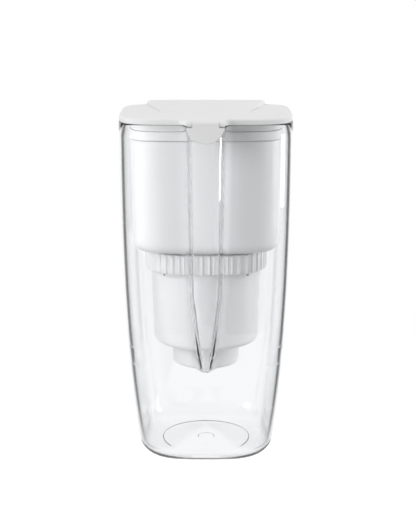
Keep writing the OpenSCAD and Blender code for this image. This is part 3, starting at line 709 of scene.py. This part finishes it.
# Cartridge

def collar():
    """The screw collar, with half-round ribs that fade out at both ends."""
    per_rib = 12
    steps = RIB_COUNT * per_rib
    edge, low_edge_h = 0.5, 0.9

    def ribbed(z, height, base=COLLAR_R):
        ring = []
        for i, t in enumerate(full_turn(steps)):
            across = ((i % per_rib) / per_rib - 0.5) * 2 * math.pi * COLLAR_R / RIB_COUNT
            share = across / (RIB_R * RIB_SPREAD)
            bulge = math.sqrt(max(0.0, 1 - share ** 2)) * RIB_R * height
            r = math.hypot(*polar_point(base, base, COLLAR_SQUARE, t)) + bulge
            ring.append((r * math.cos(t), r * math.sin(t), z))
        return ring

    rings = [round_ring(COLLAR_Z, COLLAR_LIP_R, steps), ribbed(COLLAR_Z, 0, COLLAR_R - edge)]
    for lift, height in ((0.15, 0.4), (0.45, 0.8), (low_edge_h, 1.0)):
        base = COLLAR_R - edge * (1 - lift / low_edge_h)
        rings.append(ribbed(COLLAR_Z + lift, height, base))
    for drop, height in ((1.4, 1.0), (0.8, 0.9), (0.4, 0.55), (0.15, 0.0)):
        rings.append(ribbed(COLLAR_TOP_Z - drop, height))
    rings += [
        ribbed(COLLAR_TOP_Z, 0, COLLAR_R - edge / 2),
        round_ring(COLLAR_TOP_Z, COLLAR_BORE_R + edge / 2, steps),
        round_ring(COLLAR_TOP_Z - edge / 2, COLLAR_BORE_R, steps),
        round_ring(LIP_Z, COLLAR_BORE_R, steps),
        round_ring(LIP_Z, COLLAR_LIP_R, steps),
    ]
    body = loft("collar_body", rings, CARTRIDGE_WHITE, caps=False, closed=True)
    ridge = helix_ridge("collar_thread", SEAL_Z + THREAD_ROOT / 2 + PLAY,
                        COLLAR_BORE_R + THREAD_SUNK, -THREAD_SUNK - THREAD_DEPTH, CARTRIDGE_WHITE)
    return joined("collar_ribbed", [body, ridge])


def shell():
    """The cartridge's tapered body, with its air grooves and their holes."""
    bore_top_r = SHELL_R - SHELL_WALL
    profile = [(OUTLET_R, SHELL_Z)]
    profile += arc(SHELL_LOW_R - SHELL_EDGE_R, SHELL_Z + SHELL_EDGE_R, SHELL_EDGE_R, -90, 0, 12)
    profile += [
        (between(SHELL_LOW_R, SHELL_R, k / 8), between(SHELL_Z + SHELL_EDGE_R, LIP_Z, k / 8))
        for k in range(1, 9)
    ]
    profile += [
        (SHELL_FLANGE_R, LIP_Z), (SHELL_FLANGE_R, SEAL_Z), (bore_top_r, SEAL_Z),
        (bore_top_r, LIP_Z), (SHELL_LOW_R - SHELL_WALL, SHELL_Z + SHELL_WALL),
        (OUTLET_R, SHELL_Z + SHELL_WALL),
    ]
    obj = revolve("cartridge_body", profile, CARTRIDGE_WHITE, 240)
    for front, side in ((-90, -1), (-90, 1), (90, -1), (90, 1)):
        start = front + side * SLOT_TURN - SLOT_WIDTH / 2
        combined(obj, slot_cutter(start, start + SLOT_WIDTH), "DIFFERENCE")
        combined(obj, air_hole(front + side * (SLOT_TURN + AIR_HOLE_TURN)), "DIFFERENCE")
    return obj


def slot_cutter(start, end):
    """A bent bar that cuts a shallow groove into the shell's outside."""
    low_z = SHELL_Z + SHELL_EDGE_R
    side = between(SHELL_LOW_R, SHELL_R, (SLOT_Z - low_z) / (LIP_Z - low_z))
    inner, outer = side - SLOT_DEPTH, side + SHELL_WALL
    outline = arc(0, 0, outer, start, end, 20) + arc(0, 0, inner, end, start, 20)
    return prism("slot", outline, SLOT_Z, SLOT_Z + SLOT_H, CARTRIDGE_WHITE)


def air_hole(angle, steps=32):
    """A short cylinder through the shell's wall, pointing away from the Z axis."""
    turn = math.radians(angle)
    rings = []
    for r in (SHELL_LOW_R - 2 * SHELL_WALL, SHELL_R + SHELL_WALL):
        ring = []
        for t in full_turn(steps):
            across = AIR_HOLE_R * math.cos(t)
            ring.append((r * math.cos(turn) - across * math.sin(turn),
                         r * math.sin(turn) + across * math.cos(turn),
                         SLOT_Z + SLOT_H / 2 + AIR_HOLE_R * math.sin(t)))
        rings.append(ring)
    return loft("air_hole", rings, CARTRIDGE_WHITE)


def cup():
    """The outlet cup with its drip cone."""
    spigot_r = OUTLET_R - FIT
    inner_r = CUP_R - CUP_WALL
    spigot_z = SHELL_Z + SHELL_WALL - FIT
    axis_r = 0.01
    tip_z = CUP_Z - CONE_H
    tip = (CONE_TIP_R, tip_z + 0.5)
    foot = (CONE_R, CUP_Z - 0.4)
    profile = [(axis_r, tip_z), (CONE_TIP_R * 0.7, tip_z + 0.15), tip]
    profile += soft_corner(tip, (CONE_R * 0.55, CUP_Z - 2.2), foot, 10)[1:]
    profile += soft_corner(foot, (CONE_R + 1.2, CUP_Z), (CONE_R + 3.5, CUP_Z), 4)[1:]
    profile += arc(CUP_R - CUP_EDGE_R, CUP_Z + CUP_EDGE_R, CUP_EDGE_R, -90, 0, 10)
    profile += [
        (CUP_R, SHELL_Z), (spigot_r, SHELL_Z), (spigot_r, spigot_z),
        (spigot_r - CUP_WALL, spigot_z), (spigot_r - CUP_WALL, SHELL_Z - CUP_WALL),
        (inner_r, SHELL_Z - CUP_WALL), (inner_r, CUP_Z + CUP_WALL), (axis_r, CUP_Z + CUP_WALL),
    ]
    obj = revolve("outlet_cup_body", profile, CARTRIDGE_WHITE, 180)
    ring_r = (CONE_R + inner_r) / 2
    for i in range(DRIP_HOLES):
        angle = math.radians(360 / DRIP_HOLES * (i + 0.5))
        outline = circle(ring_r * math.cos(angle), ring_r * math.sin(angle), DRIP_HOLE_R, 24)
        hole = prism("drip_hole", outline, CUP_Z - 1, CUP_Z + CUP_WALL + 1, CARTRIDGE_WHITE)
        combined(obj, hole, "DIFFERENCE")
    return obj


# Lid

FOLD_Y = -HATCH_FRONT - PLAY
LID_BACK_Y = JUG_D / 2 - LID_INSET
HATCH_BACK = JUG_D / 2 + HATCH_OVERHANG
HATCH_LEAN = (HATCH_BACK_W - HATCH_FRONT_W) / 2 / (HATCH_BACK + HATCH_FRONT)
HATCH_BARREL_Y = HATCH_BARREL_R - HATCH_FRONT
HATCH_BARREL_Z = LID_TOP_Z - HATCH_BARREL_R
FLAP_BACK_Y = SPOUT_FRONT_Y - FLAP_GAP
FLAP_Y = FLAP_BACK_Y - FLAP_BARREL_R / 2
FLAP_Z = LID_TOP_Z - FLAP_BARREL_R - 0.1
FLAP_EAR_X = FLAP_BARREL_W / 2 + PLAY
FLAP_EAR_END = FLAP_W / 2


def lid_top(y):
    """Height of the lid's top, which falls away behind the fold."""
    return LID_TOP_Z - LID_FALL * max(0.0, y - FOLD_Y) / (LID_BACK_Y - FOLD_Y)


def hatch_half_w(y):
    return HATCH_FRONT_W / 2 + HATCH_LEAN * (y + HATCH_FRONT)


def hatch_outline(margin, back):
    front = -HATCH_FRONT - margin
    slant = margin * math.sqrt(1 + HATCH_LEAN ** 2)
    return [
        (-hatch_half_w(front) - slant, front), (hatch_half_w(front) + slant, front),
        (hatch_half_w(back) + slant, back), (-hatch_half_w(back) - slant, back),
    ]


def on_roof(ring, drop):
    return [(x, y, lid_top(y) - drop) for x, y, _ in ring]


def shrunk(ring, share):
    return [(x * share, y * share, z) for x, y, z in ring]


def lid_rings():
    """Rings up the lid's skirt, over its rounded edge and top, and those of its hollow."""
    soft, edge_steps = 0.3, 6
    outer = [jug_ring(RIM_Z, LID_INSET + SKIRT_WALL - soft, SKIRT_Z),
             jug_ring(RIM_Z, LID_INSET + soft, SKIRT_Z),
             jug_ring(RIM_Z, LID_INSET, SKIRT_Z + soft)]
    for i in range(edge_steps + 1):
        t = math.radians(i * 90 / edge_steps)
        inset = LID_INSET + LID_EDGE_R * (1 - math.cos(t))
        outer.append(on_roof(jug_ring(RIM_Z, inset), LID_EDGE_R * (1 - math.sin(t))))
    top = jug_ring(RIM_Z, LID_INSET + LID_EDGE_R + 0.5)
    shares = [1.0, 0.96, 0.9, 0.8, 0.65, 0.5, 0.35, 0.2, 0.08]
    outer += [on_roof(shrunk(top, share), 0) for share in shares]
    inner = [on_roof(shrunk(top, share), LID_WALL) for share in shares[::-1]]
    inner.append(on_roof(jug_ring(RIM_Z, LID_INSET + SKIRT_WALL), LID_WALL))
    inner.append(jug_ring(RIM_Z, LID_INSET + SKIRT_WALL, SKIRT_Z + soft))
    return outer, inner


def lid():
    """The lid: skirted top, locating lip, and the tray that the hatch closes."""
    skin = closed_shell("lid_top", *lid_rings(), LID_WHITE)
    bore = BAND_INSET + HOPPER_WALL + PLAY
    ceiling = LID_WALL / 2
    for outer_inset, low_z in ((FLANGE_INSET, RIM_Z + FLANGE_T), (bore, RIM_Z - LIP_DEPTH)):
        walls = [rim_ring(low_z, outer_inset), on_roof(rim_ring(0, outer_inset), ceiling),
                 on_roof(rim_ring(0, outer_inset + LID_WALL), ceiling),
                 rim_ring(low_z, outer_inset + LID_WALL)]
        wall = loft("lid_rib", walls, LID_WHITE, caps=False, closed=True)
        combined(skin, wall, "UNION")
    tray = prism("tray", hatch_outline(PLAY + PIN_WALL, HATCH_BACK), SEAT_Z - SEAT_T,
                 LID_TOP_Z + 3, LID_WHITE)
    inner_prism = roof_solid(LID_INSET + 0.02, SKIRT_Z)
    combined(tray, inner_prism, "INTERSECT")
    combined(skin, tray, "UNION")
    for side in (-1, 1):
        combined(skin, flap_ear(side), "UNION")
    cut_z = LID_TOP_Z + 5
    pocket = prism("pocket", hatch_outline(PLAY, HATCH_BACK + 1), SEAT_Z, cut_z, LID_WHITE)
    combined(skin, pocket, "DIFFERENCE")
    opening = prism("opening", hatch_outline(-SEAT_W, FILL_BACK), RIM_Z - 2 * LIP_DEPTH,
                    cut_z, LID_WHITE)
    combined(skin, opening, "DIFFERENCE")
    trough_y = HATCH_BARREL_Y + HATCH_BARREL_R + PLAY
    half = hatch_half_w(trough_y) + PLAY
    trough = box("trough", (-half, FOLD_Y, RIM_Z - 1), (half, trough_y, cut_z), LID_WHITE)
    combined(skin, trough, "DIFFERENCE")
    barrel_space = bar("barrel_space", FLAP_Y, FLAP_Z, FLAP_BARREL_R + PLAY,
                       -FLAP_EAR_X, FLAP_EAR_X, LID_WHITE)
    return combined(skin, barrel_space, "DIFFERENCE")


def roof_solid(inset, z):
    """Everything inside the lid's outline, from z up to its top."""
    outline = jug_ring(RIM_Z, inset)
    rings = [[(x, y, z) for x, y, _ in outline], on_roof(outline, 0.01)]
    rings += [on_roof(shrunk(outline, share), 0.01) for share in (0.8, 0.5, 0.2)]
    return loft("roof_solid", rings, LID_WHITE)


def flap_ear(side):
    """One of the two ears that hold the flap's pin."""
    x0, x1 = sorted((side * FLAP_EAR_X, side * FLAP_EAR_END))
    back = SPOUT_FRONT_Y + SKIRT_WALL + LID_INSET
    outline = arc(FLAP_Y, FLAP_Z, FLAP_BARREL_R, 90, 270, 16)
    outline += [(back, FLAP_Z - FLAP_BARREL_R), (back, FLAP_Z + FLAP_BARREL_R)]
    return column("ear", [(x0, *p) for p in outline], [(x1, *p) for p in outline], LID_WHITE)


def hatch():
    """The fill hatch: a trapezoid plate with softened edges, and its hinge barrel."""
    front, back = HATCH_BARREL_Y, HATCH_BACK
    low, wide = hatch_half_w(front), hatch_half_w(back)
    steps = 24
    front_share = 0.4
    # Share of the height, and how far the sides are drawn in there
    section = ((0.0, 0.3), (0.12, 0.0), (0.6, 0.0), (0.85, 0.2), (0.96, 0.6), (1.0, 1.1))
    rings = []
    for z_share, draw in section:
        ring = []
        bevel = HATCH_BEVEL * z_share
        corners = [(-low + draw * front_share, front), (low - draw * front_share, front),
                   (wide - bevel - draw, back), (-wide + bevel + draw, back)]
        for k in range(4):
            a, b = corners[k], corners[(k + 1) % 4]
            for i in range(steps):
                x, y = between(a[0], b[0], i / steps), between(a[1], b[1], i / steps)
                slope = (y - front) / (back - front)
                high = between(LID_TOP_Z, LID_TOP_Z + HATCH_RISE, slope)
                ring.append((x, y, between(HATCH_Z, high, z_share)))
        rings.append(ring)
    plate = loft("hatch_plate", rings, LID_WHITE)
    outline = [(x, y) for x, y, _ in rim_ring(0, -HATCH_OVERHANG, 240)]
    clip = prism("clip", outline, HATCH_Z - 1, LID_TOP_Z + HATCH_RISE + 1, LID_WHITE)
    combined(plate, clip, "INTERSECT")
    barrel = bar("hatch_barrel", HATCH_BARREL_Y, HATCH_BARREL_Z, HATCH_BARREL_R,
                 -HATCH_FRONT_W / 2, HATCH_FRONT_W / 2, LID_WHITE)
    return combined(plate, barrel, "UNION")


def flap():
    """The spout flap: a tongue with a round lower end, hung from a barrel."""
    bend_r = FLAP_W / 2
    low_z = RIM_Z - MOUTH_DEPTH - FLAP_LAP
    shoulder_z = FLAP_Z - FLAP_BARREL_R - PLAY
    centre_z = low_z + bend_r
    below = math.degrees(math.asin((centre_z - shoulder_z) / bend_r))
    neck = FLAP_BARREL_W / 2
    outline = arc(0, centre_z, bend_r, below - 180, -below, 64)
    outline += [(neck, shoulder_z), (neck, FLAP_Z), (-neck, FLAP_Z), (-neck, shoulder_z)]
    front, back = FLAP_BACK_Y - FLAP_T, FLAP_BACK_Y
    tiny = 0.01
    inner = [
        (x * FLAP_DRAW,
         centre_z + (z - centre_z) * FLAP_DRAW if z < shoulder_z - tiny else z)
        for x, z in outline
    ]
    rings = [
        [(x, back, z) for x, z in inner], [(x, back - FLAP_SOFT, z) for x, z in outline],
        [(x, front + FLAP_SOFT, z) for x, z in outline], [(x, front, z) for x, z in inner],
    ]
    tongue = loft("tongue", rings, LID_WHITE)
    barrel = bar("flap_barrel", FLAP_Y, FLAP_Z, FLAP_BARREL_R, -neck, neck, LID_WHITE)
    return joined("flap_tongue", [tongue, barrel])


# Handle

def handle_path(inset, steps=20):
    """The handle's outer edge in Y and Z, moved in by inset, from its top end to its foot."""
    bend_y = JUG_D / 2 + HANDLE_REACH - HANDLE_BEND_R
    high = (bend_y, HANDLE_TOP_Z - HANDLE_BEND_R)
    low = (bend_y - HANDLE_RAKE, HANDLE_LOW_Z + HANDLE_BEND_R)
    lean = math.degrees(math.atan2(HANDLE_RAKE, high[1] - low[1]))
    r = HANDLE_BEND_R - inset
    high_z, low_z = HANDLE_TOP_Z - inset, HANDLE_LOW_Z + inset
    grip = 12
    bend_end = arc(*high, r, 90, -lean, steps)
    bend_start = arc(*low, r, -lean, -90, steps)
    straight = [
        (between(bend_end[-1][0], bend_start[0][0], k / grip),
         between(bend_end[-1][1], bend_start[0][1], k / grip)) for k in range(1, grip)
    ]
    return [(half_d(high_z) + FIT, high_z)] + bend_end + straight + bend_start + [
        (half_d(low_z) + FIT, low_z)]


def swept(section, outer_inset, inner_inset):
    """Rings of a section of (x, inset) points, swept along the handle's path."""
    outer, inner = handle_path(outer_inset), handle_path(inner_inset)
    rings = []
    for a, b in zip(outer, inner):
        ring = []
        for x, inset in section:
            share = (inset - outer_inset) / (inner_inset - outer_inset)
            ring.append((x, between(a[0], b[0], share), between(a[1], b[1], share)))
        rings.append(ring)
    return rings


def rounded_u(width, depth, wall, r_out, r_in):
    """Half of a channel's section, mirrored: the outside with round corners, then the inside."""
    half = width / 2
    right = arc(half - r_out, r_out, r_out, -90, 0, 8)
    right += arc(half - r_in, depth - r_in, r_in, 0, 90, 4)
    right += [(half - wall, depth)]
    inside_r = r_out - wall
    right += arc(half - wall - inside_r, wall + inside_r, inside_r, 0, -90, 5)
    left = [(-x, y) for x, y in right[::-1]]
    return right + left


def handle_grip():
    """The hollow shell of the handle, open on the finger side."""
    section = rounded_u(HANDLE_W, HANDLE_T, HANDLE_WALL, HANDLE_EDGE_R, HANDLE_LIP_R)
    rings = swept(section, 0, HANDLE_T)
    count = len(section)
    points = [p for ring in rings for p in ring]
    faces = []
    for k in range(len(rings) - 1):
        faces += strip_faces(k, k + 1, count)
    half = count // 2
    for base in (0, (len(rings) - 1) * count):
        for i in range(half - 1):
            faces.append((base + i, base + i + 1, base + count - 2 - i, base + count - 1 - i))
    return make_mesh("handle_shell", points, faces, HANDLE_WHITE)


def handle_liner():
    """The strip on the finger side, with rounded edges."""
    half = HANDLE_W / 2 - HANDLE_WALL - FIT
    r = LINER_EDGE_R
    low, high = HANDLE_T - LINER_T, HANDLE_T
    section = arc(half - r, high - r, r, 0, 90, 4) + arc(-half + r, high - r, r, 90, 180, 4)
    section += [(-half, low), (half, low)]
    return loft("handle_strip", swept(section, low, high), LINER_GREY)


# Pieces that keep the frame's own mesh

def soften(name, material, width):
    """Gives a carried-over node its material and slightly rounded edges."""
    obj = frame["nodes"][name]
    for slot in obj.material_slots:
        slot.material = material
    weld = obj.modifiers.new("weld", "WELD")
    weld.merge_threshold = 1e-6
    edge = obj.modifiers.new("edge", "BEVEL")
    edge.width = width * MM
    edge.segments = 2
    edge.limit_method = "ANGLE"
    edge.angle_limit = math.radians(40)
    normals = obj.modifiers.new("normals", "WEIGHTED_NORMAL")
    normals.keep_sharp = True


placed(jug(), "jug", "clear_plastic", "jug")
placed(handle_grip(), "jug", "handle_plastic", "handle_grip")
placed(handle_liner(), "jug", "liner_plastic", "handle_liner")
placed(hopper(), "hopper", "hopper_plastic", "hopper")
placed(collar(), "cartridge", "cartridge_plastic", "cartridge_collar")
placed(shell(), "cartridge", "cartridge_plastic", "cartridge_shell")
placed(cup(), "cartridge", "cartridge_plastic", "outlet_cup")
placed(lid(), "lid", "lid_plastic", "lid")
placed(hatch(), "hatch", "lid_plastic", "fill_hatch")
placed(flap(), "flap", "lid_plastic", "spout_flap")

FINE_PIECES = ("inlet_screen", "outlet_grid")
for node, material in (
    ("handle_screws", STEEL), ("hatch_pin", STEEL), ("flap_pin", STEEL),
    ("neck_seal", SEAL_GREY), ("inlet_cap", CARTRIDGE_WHITE), ("inlet_screen", STEEL),
    ("inlet_felt", FELT), ("carbon_bed", CARBON), ("divider_felt", FELT),
    ("resin_bed", RESIN), ("outlet_felt", FELT), ("outlet_grid", CARTRIDGE_WHITE),
):
    soften(node, material, 0.1 if node in FINE_PIECES else 0.2)


# Camera, world, floor and lamps

CAMERA_AT = (0.0016, -0.978, 0.378)
CAMERA_DOWN = 12.9
CAMERA_LENS = 85.5
# Brightness of the surroundings seen in clear walls, by degrees from +Y towards +X.
# The two flags stand beside the backdrop, and the room behind the camera is dimmer.
SIDE_FLAGS = [
    (-80, 0.95), (-66, 0.2), (-40, 0.2), (-30, 1.0), (30, 1.0), (40, 0.15), (62, 0.15), (80, 0.8),
]
ROOM_LEVELS = [(-180, 0.5), (-160, 1.0)] + SIDE_FLAGS + [
    (140, 0.8), (160, 0.15), (172, 0.15), (180, 0.5),
]
FLOOR_LEVELS = [(-180, 1.0)] + SIDE_FLAGS + [(110, 1.0), (180, 1.0)]
AMBIENT = 0.5
# The floor's radius is in millimetres. Its drop below the table's level, and how far in
# front of the middle its flags are seen from, are in metres.
FLOOR_R, FLOOR_STEPS = 340.0, 96
FLOOR_DROP, FLOOR_BACK = 0.0002, 0.12
FLOOR_COLOUR, FLOOR_GLOW = 0.8, 0.45


def camera():
    bpy.context.scene.view_settings.view_transform = "Standard"
    data = bpy.data.cameras.new("camera")
    data.lens = CAMERA_LENS
    data.sensor_width = 36
    obj = bpy.data.objects.new("camera", data)
    bpy.context.scene.collection.objects.link(obj)
    obj.location = CAMERA_AT
    obj.rotation_euler = (math.radians(90 - CAMERA_DOWN), 0, 0)
    bpy.context.scene.camera = obj


def sight_rays(n):
    """1 for rays that show the background: seen, mirrored or through something clear."""
    path = n.add("ShaderNodeLightPath")
    total = path.outputs["Is Camera Ray"]
    for name in ("Is Glossy Ray", "Is Transmission Ray"):
        more = n.add("ShaderNodeMath", operation="MAXIMUM")
        n.link(total, more.inputs[0])
        n.link(path.outputs[name], more.inputs[1])
        total = more.outputs["Value"]
    return total, path


def dark_flags(n, place, back, levels):
    """The levels as a colour, by the direction of a place as seen from (0, -back)."""
    axes = n.add("ShaderNodeSeparateXYZ")
    n.link(place, axes.inputs["Vector"])
    away = n.add("ShaderNodeMath", operation="ADD")
    away.inputs[1].default_value = back
    n.link(axes.outputs["Y"], away.inputs[0])
    turn = n.add("ShaderNodeMath", operation="ARCTAN2")
    n.link(axes.outputs["X"], turn.inputs[0])
    n.link(away.outputs["Value"], turn.inputs[1])
    share = n.add("ShaderNodeMath", operation="MULTIPLY_ADD")
    share.inputs[1].default_value = 0.5 / math.pi
    share.inputs[2].default_value = 0.5
    n.link(turn.outputs["Value"], share.inputs[0])
    flags = n.add("ShaderNodeValToRGB")
    ramp = flags.color_ramp
    while len(ramp.elements) < len(levels):
        ramp.elements.new(0.5)
    for element, (angle, level) in zip(ramp.elements, levels):
        element.position = angle / 360 + 0.5
        element.color = (level, level, level, 1)
    n.link(share.outputs["Value"], flags.inputs["Fac"])
    return flags.outputs["Color"]


def world():
    """White where the camera sees it, and with the dark flags in and through clear walls."""
    scene_world = bpy.data.worlds.new("studio")
    bpy.context.scene.world = scene_world
    scene_world.use_nodes = True
    n = Nodes(scene_world.node_tree)
    coords = n.add("ShaderNodeTexCoord")
    flags = dark_flags(n, coords.outputs["Generated"], 0, ROOM_LEVELS)
    seen, path = sight_rays(n)
    plain = n.add("ShaderNodeBackground", Strength=1.0)
    plain.inputs["Color"].default_value = (1, 1, 1, 1)
    mirrored = n.add("ShaderNodeBackground", Strength=1.0)
    n.link(flags, mirrored.inputs["Color"])
    ambient = n.add("ShaderNodeBackground", Strength=AMBIENT)
    ambient.inputs["Color"].default_value = (1, 1, 1, 1)
    behind = n.mix(path.outputs["Is Camera Ray"],
                   mirrored.outputs["Background"], plain.outputs["Background"])
    out = n.add("ShaderNodeOutputWorld")
    n.link(n.mix(seen, ambient.outputs["Background"], behind), out.inputs["Surface"])


def floor():
    """A pale floor that shows white where nothing shades it, and the flags through clear walls."""
    material, n = new_material("floor")
    matte = n.add("ShaderNodeBsdfDiffuse")
    matte.inputs["Color"].default_value = (FLOOR_COLOUR, FLOOR_COLOUR, FLOOR_COLOUR, 1)
    glow = n.add("ShaderNodeEmission")
    seen, path = sight_rays(n)
    lit = n.add("ShaderNodeMath", operation="MULTIPLY")
    lit.inputs[1].default_value = FLOOR_GLOW
    n.link(path.outputs["Is Camera Ray"], lit.inputs[0])
    n.link(lit.outputs["Value"], glow.inputs["Strength"])
    both = n.add("ShaderNodeAddShader")
    n.link(matte.outputs["BSDF"], both.inputs[0])
    n.link(glow.outputs["Emission"], both.inputs[1])
    coords = n.add("ShaderNodeTexCoord")
    mirrored = n.add("ShaderNodeEmission", Strength=1.0)
    flags = dark_flags(n, coords.outputs["Object"], FLOOR_BACK, FLOOR_LEVELS)
    n.link(flags, mirrored.inputs["Color"])
    indirect = n.add("ShaderNodeMath", operation="SUBTRACT")
    n.link(seen, indirect.inputs[0])
    n.link(path.outputs["Is Camera Ray"], indirect.inputs[1])
    n.surface(n.mix(indirect.outputs["Value"], both.outputs["Shader"],
                    mirrored.outputs["Emission"]))
    outline = circle(0, 0, FLOOR_R, FLOOR_STEPS)
    obj = make_mesh("floor", [(*p, 0.0) for p in outline], [tuple(range(FLOOR_STEPS))], material)
    obj.location.z = -FLOOR_DROP


def lamp(name, at, aim, size, power):
    data = bpy.data.lights.new(name, "AREA")
    data.shape = "RECTANGLE"
    data.size, data.size_y = size
    data.energy = power
    obj = bpy.data.objects.new(name, data)
    bpy.context.scene.collection.objects.link(obj)
    obj.location = at
    obj.visible_glossy = False
    obj.rotation_euler = (Vector(aim) - Vector(at)).to_track_quat("-Z", "Y").to_euler()


camera()
world()
floor()
middle = (0, 0, 0.16)
lamp("key", (-0.85, -0.7, 0.5), middle, (0.5, 0.8), 6)
lamp("top", (-0.2, 0.1, 1.7), middle, (1.2, 1.2), 4.4)
lamp("right", (1.3, 0.2, 0.5), middle, (0.5, 1.2), 10)
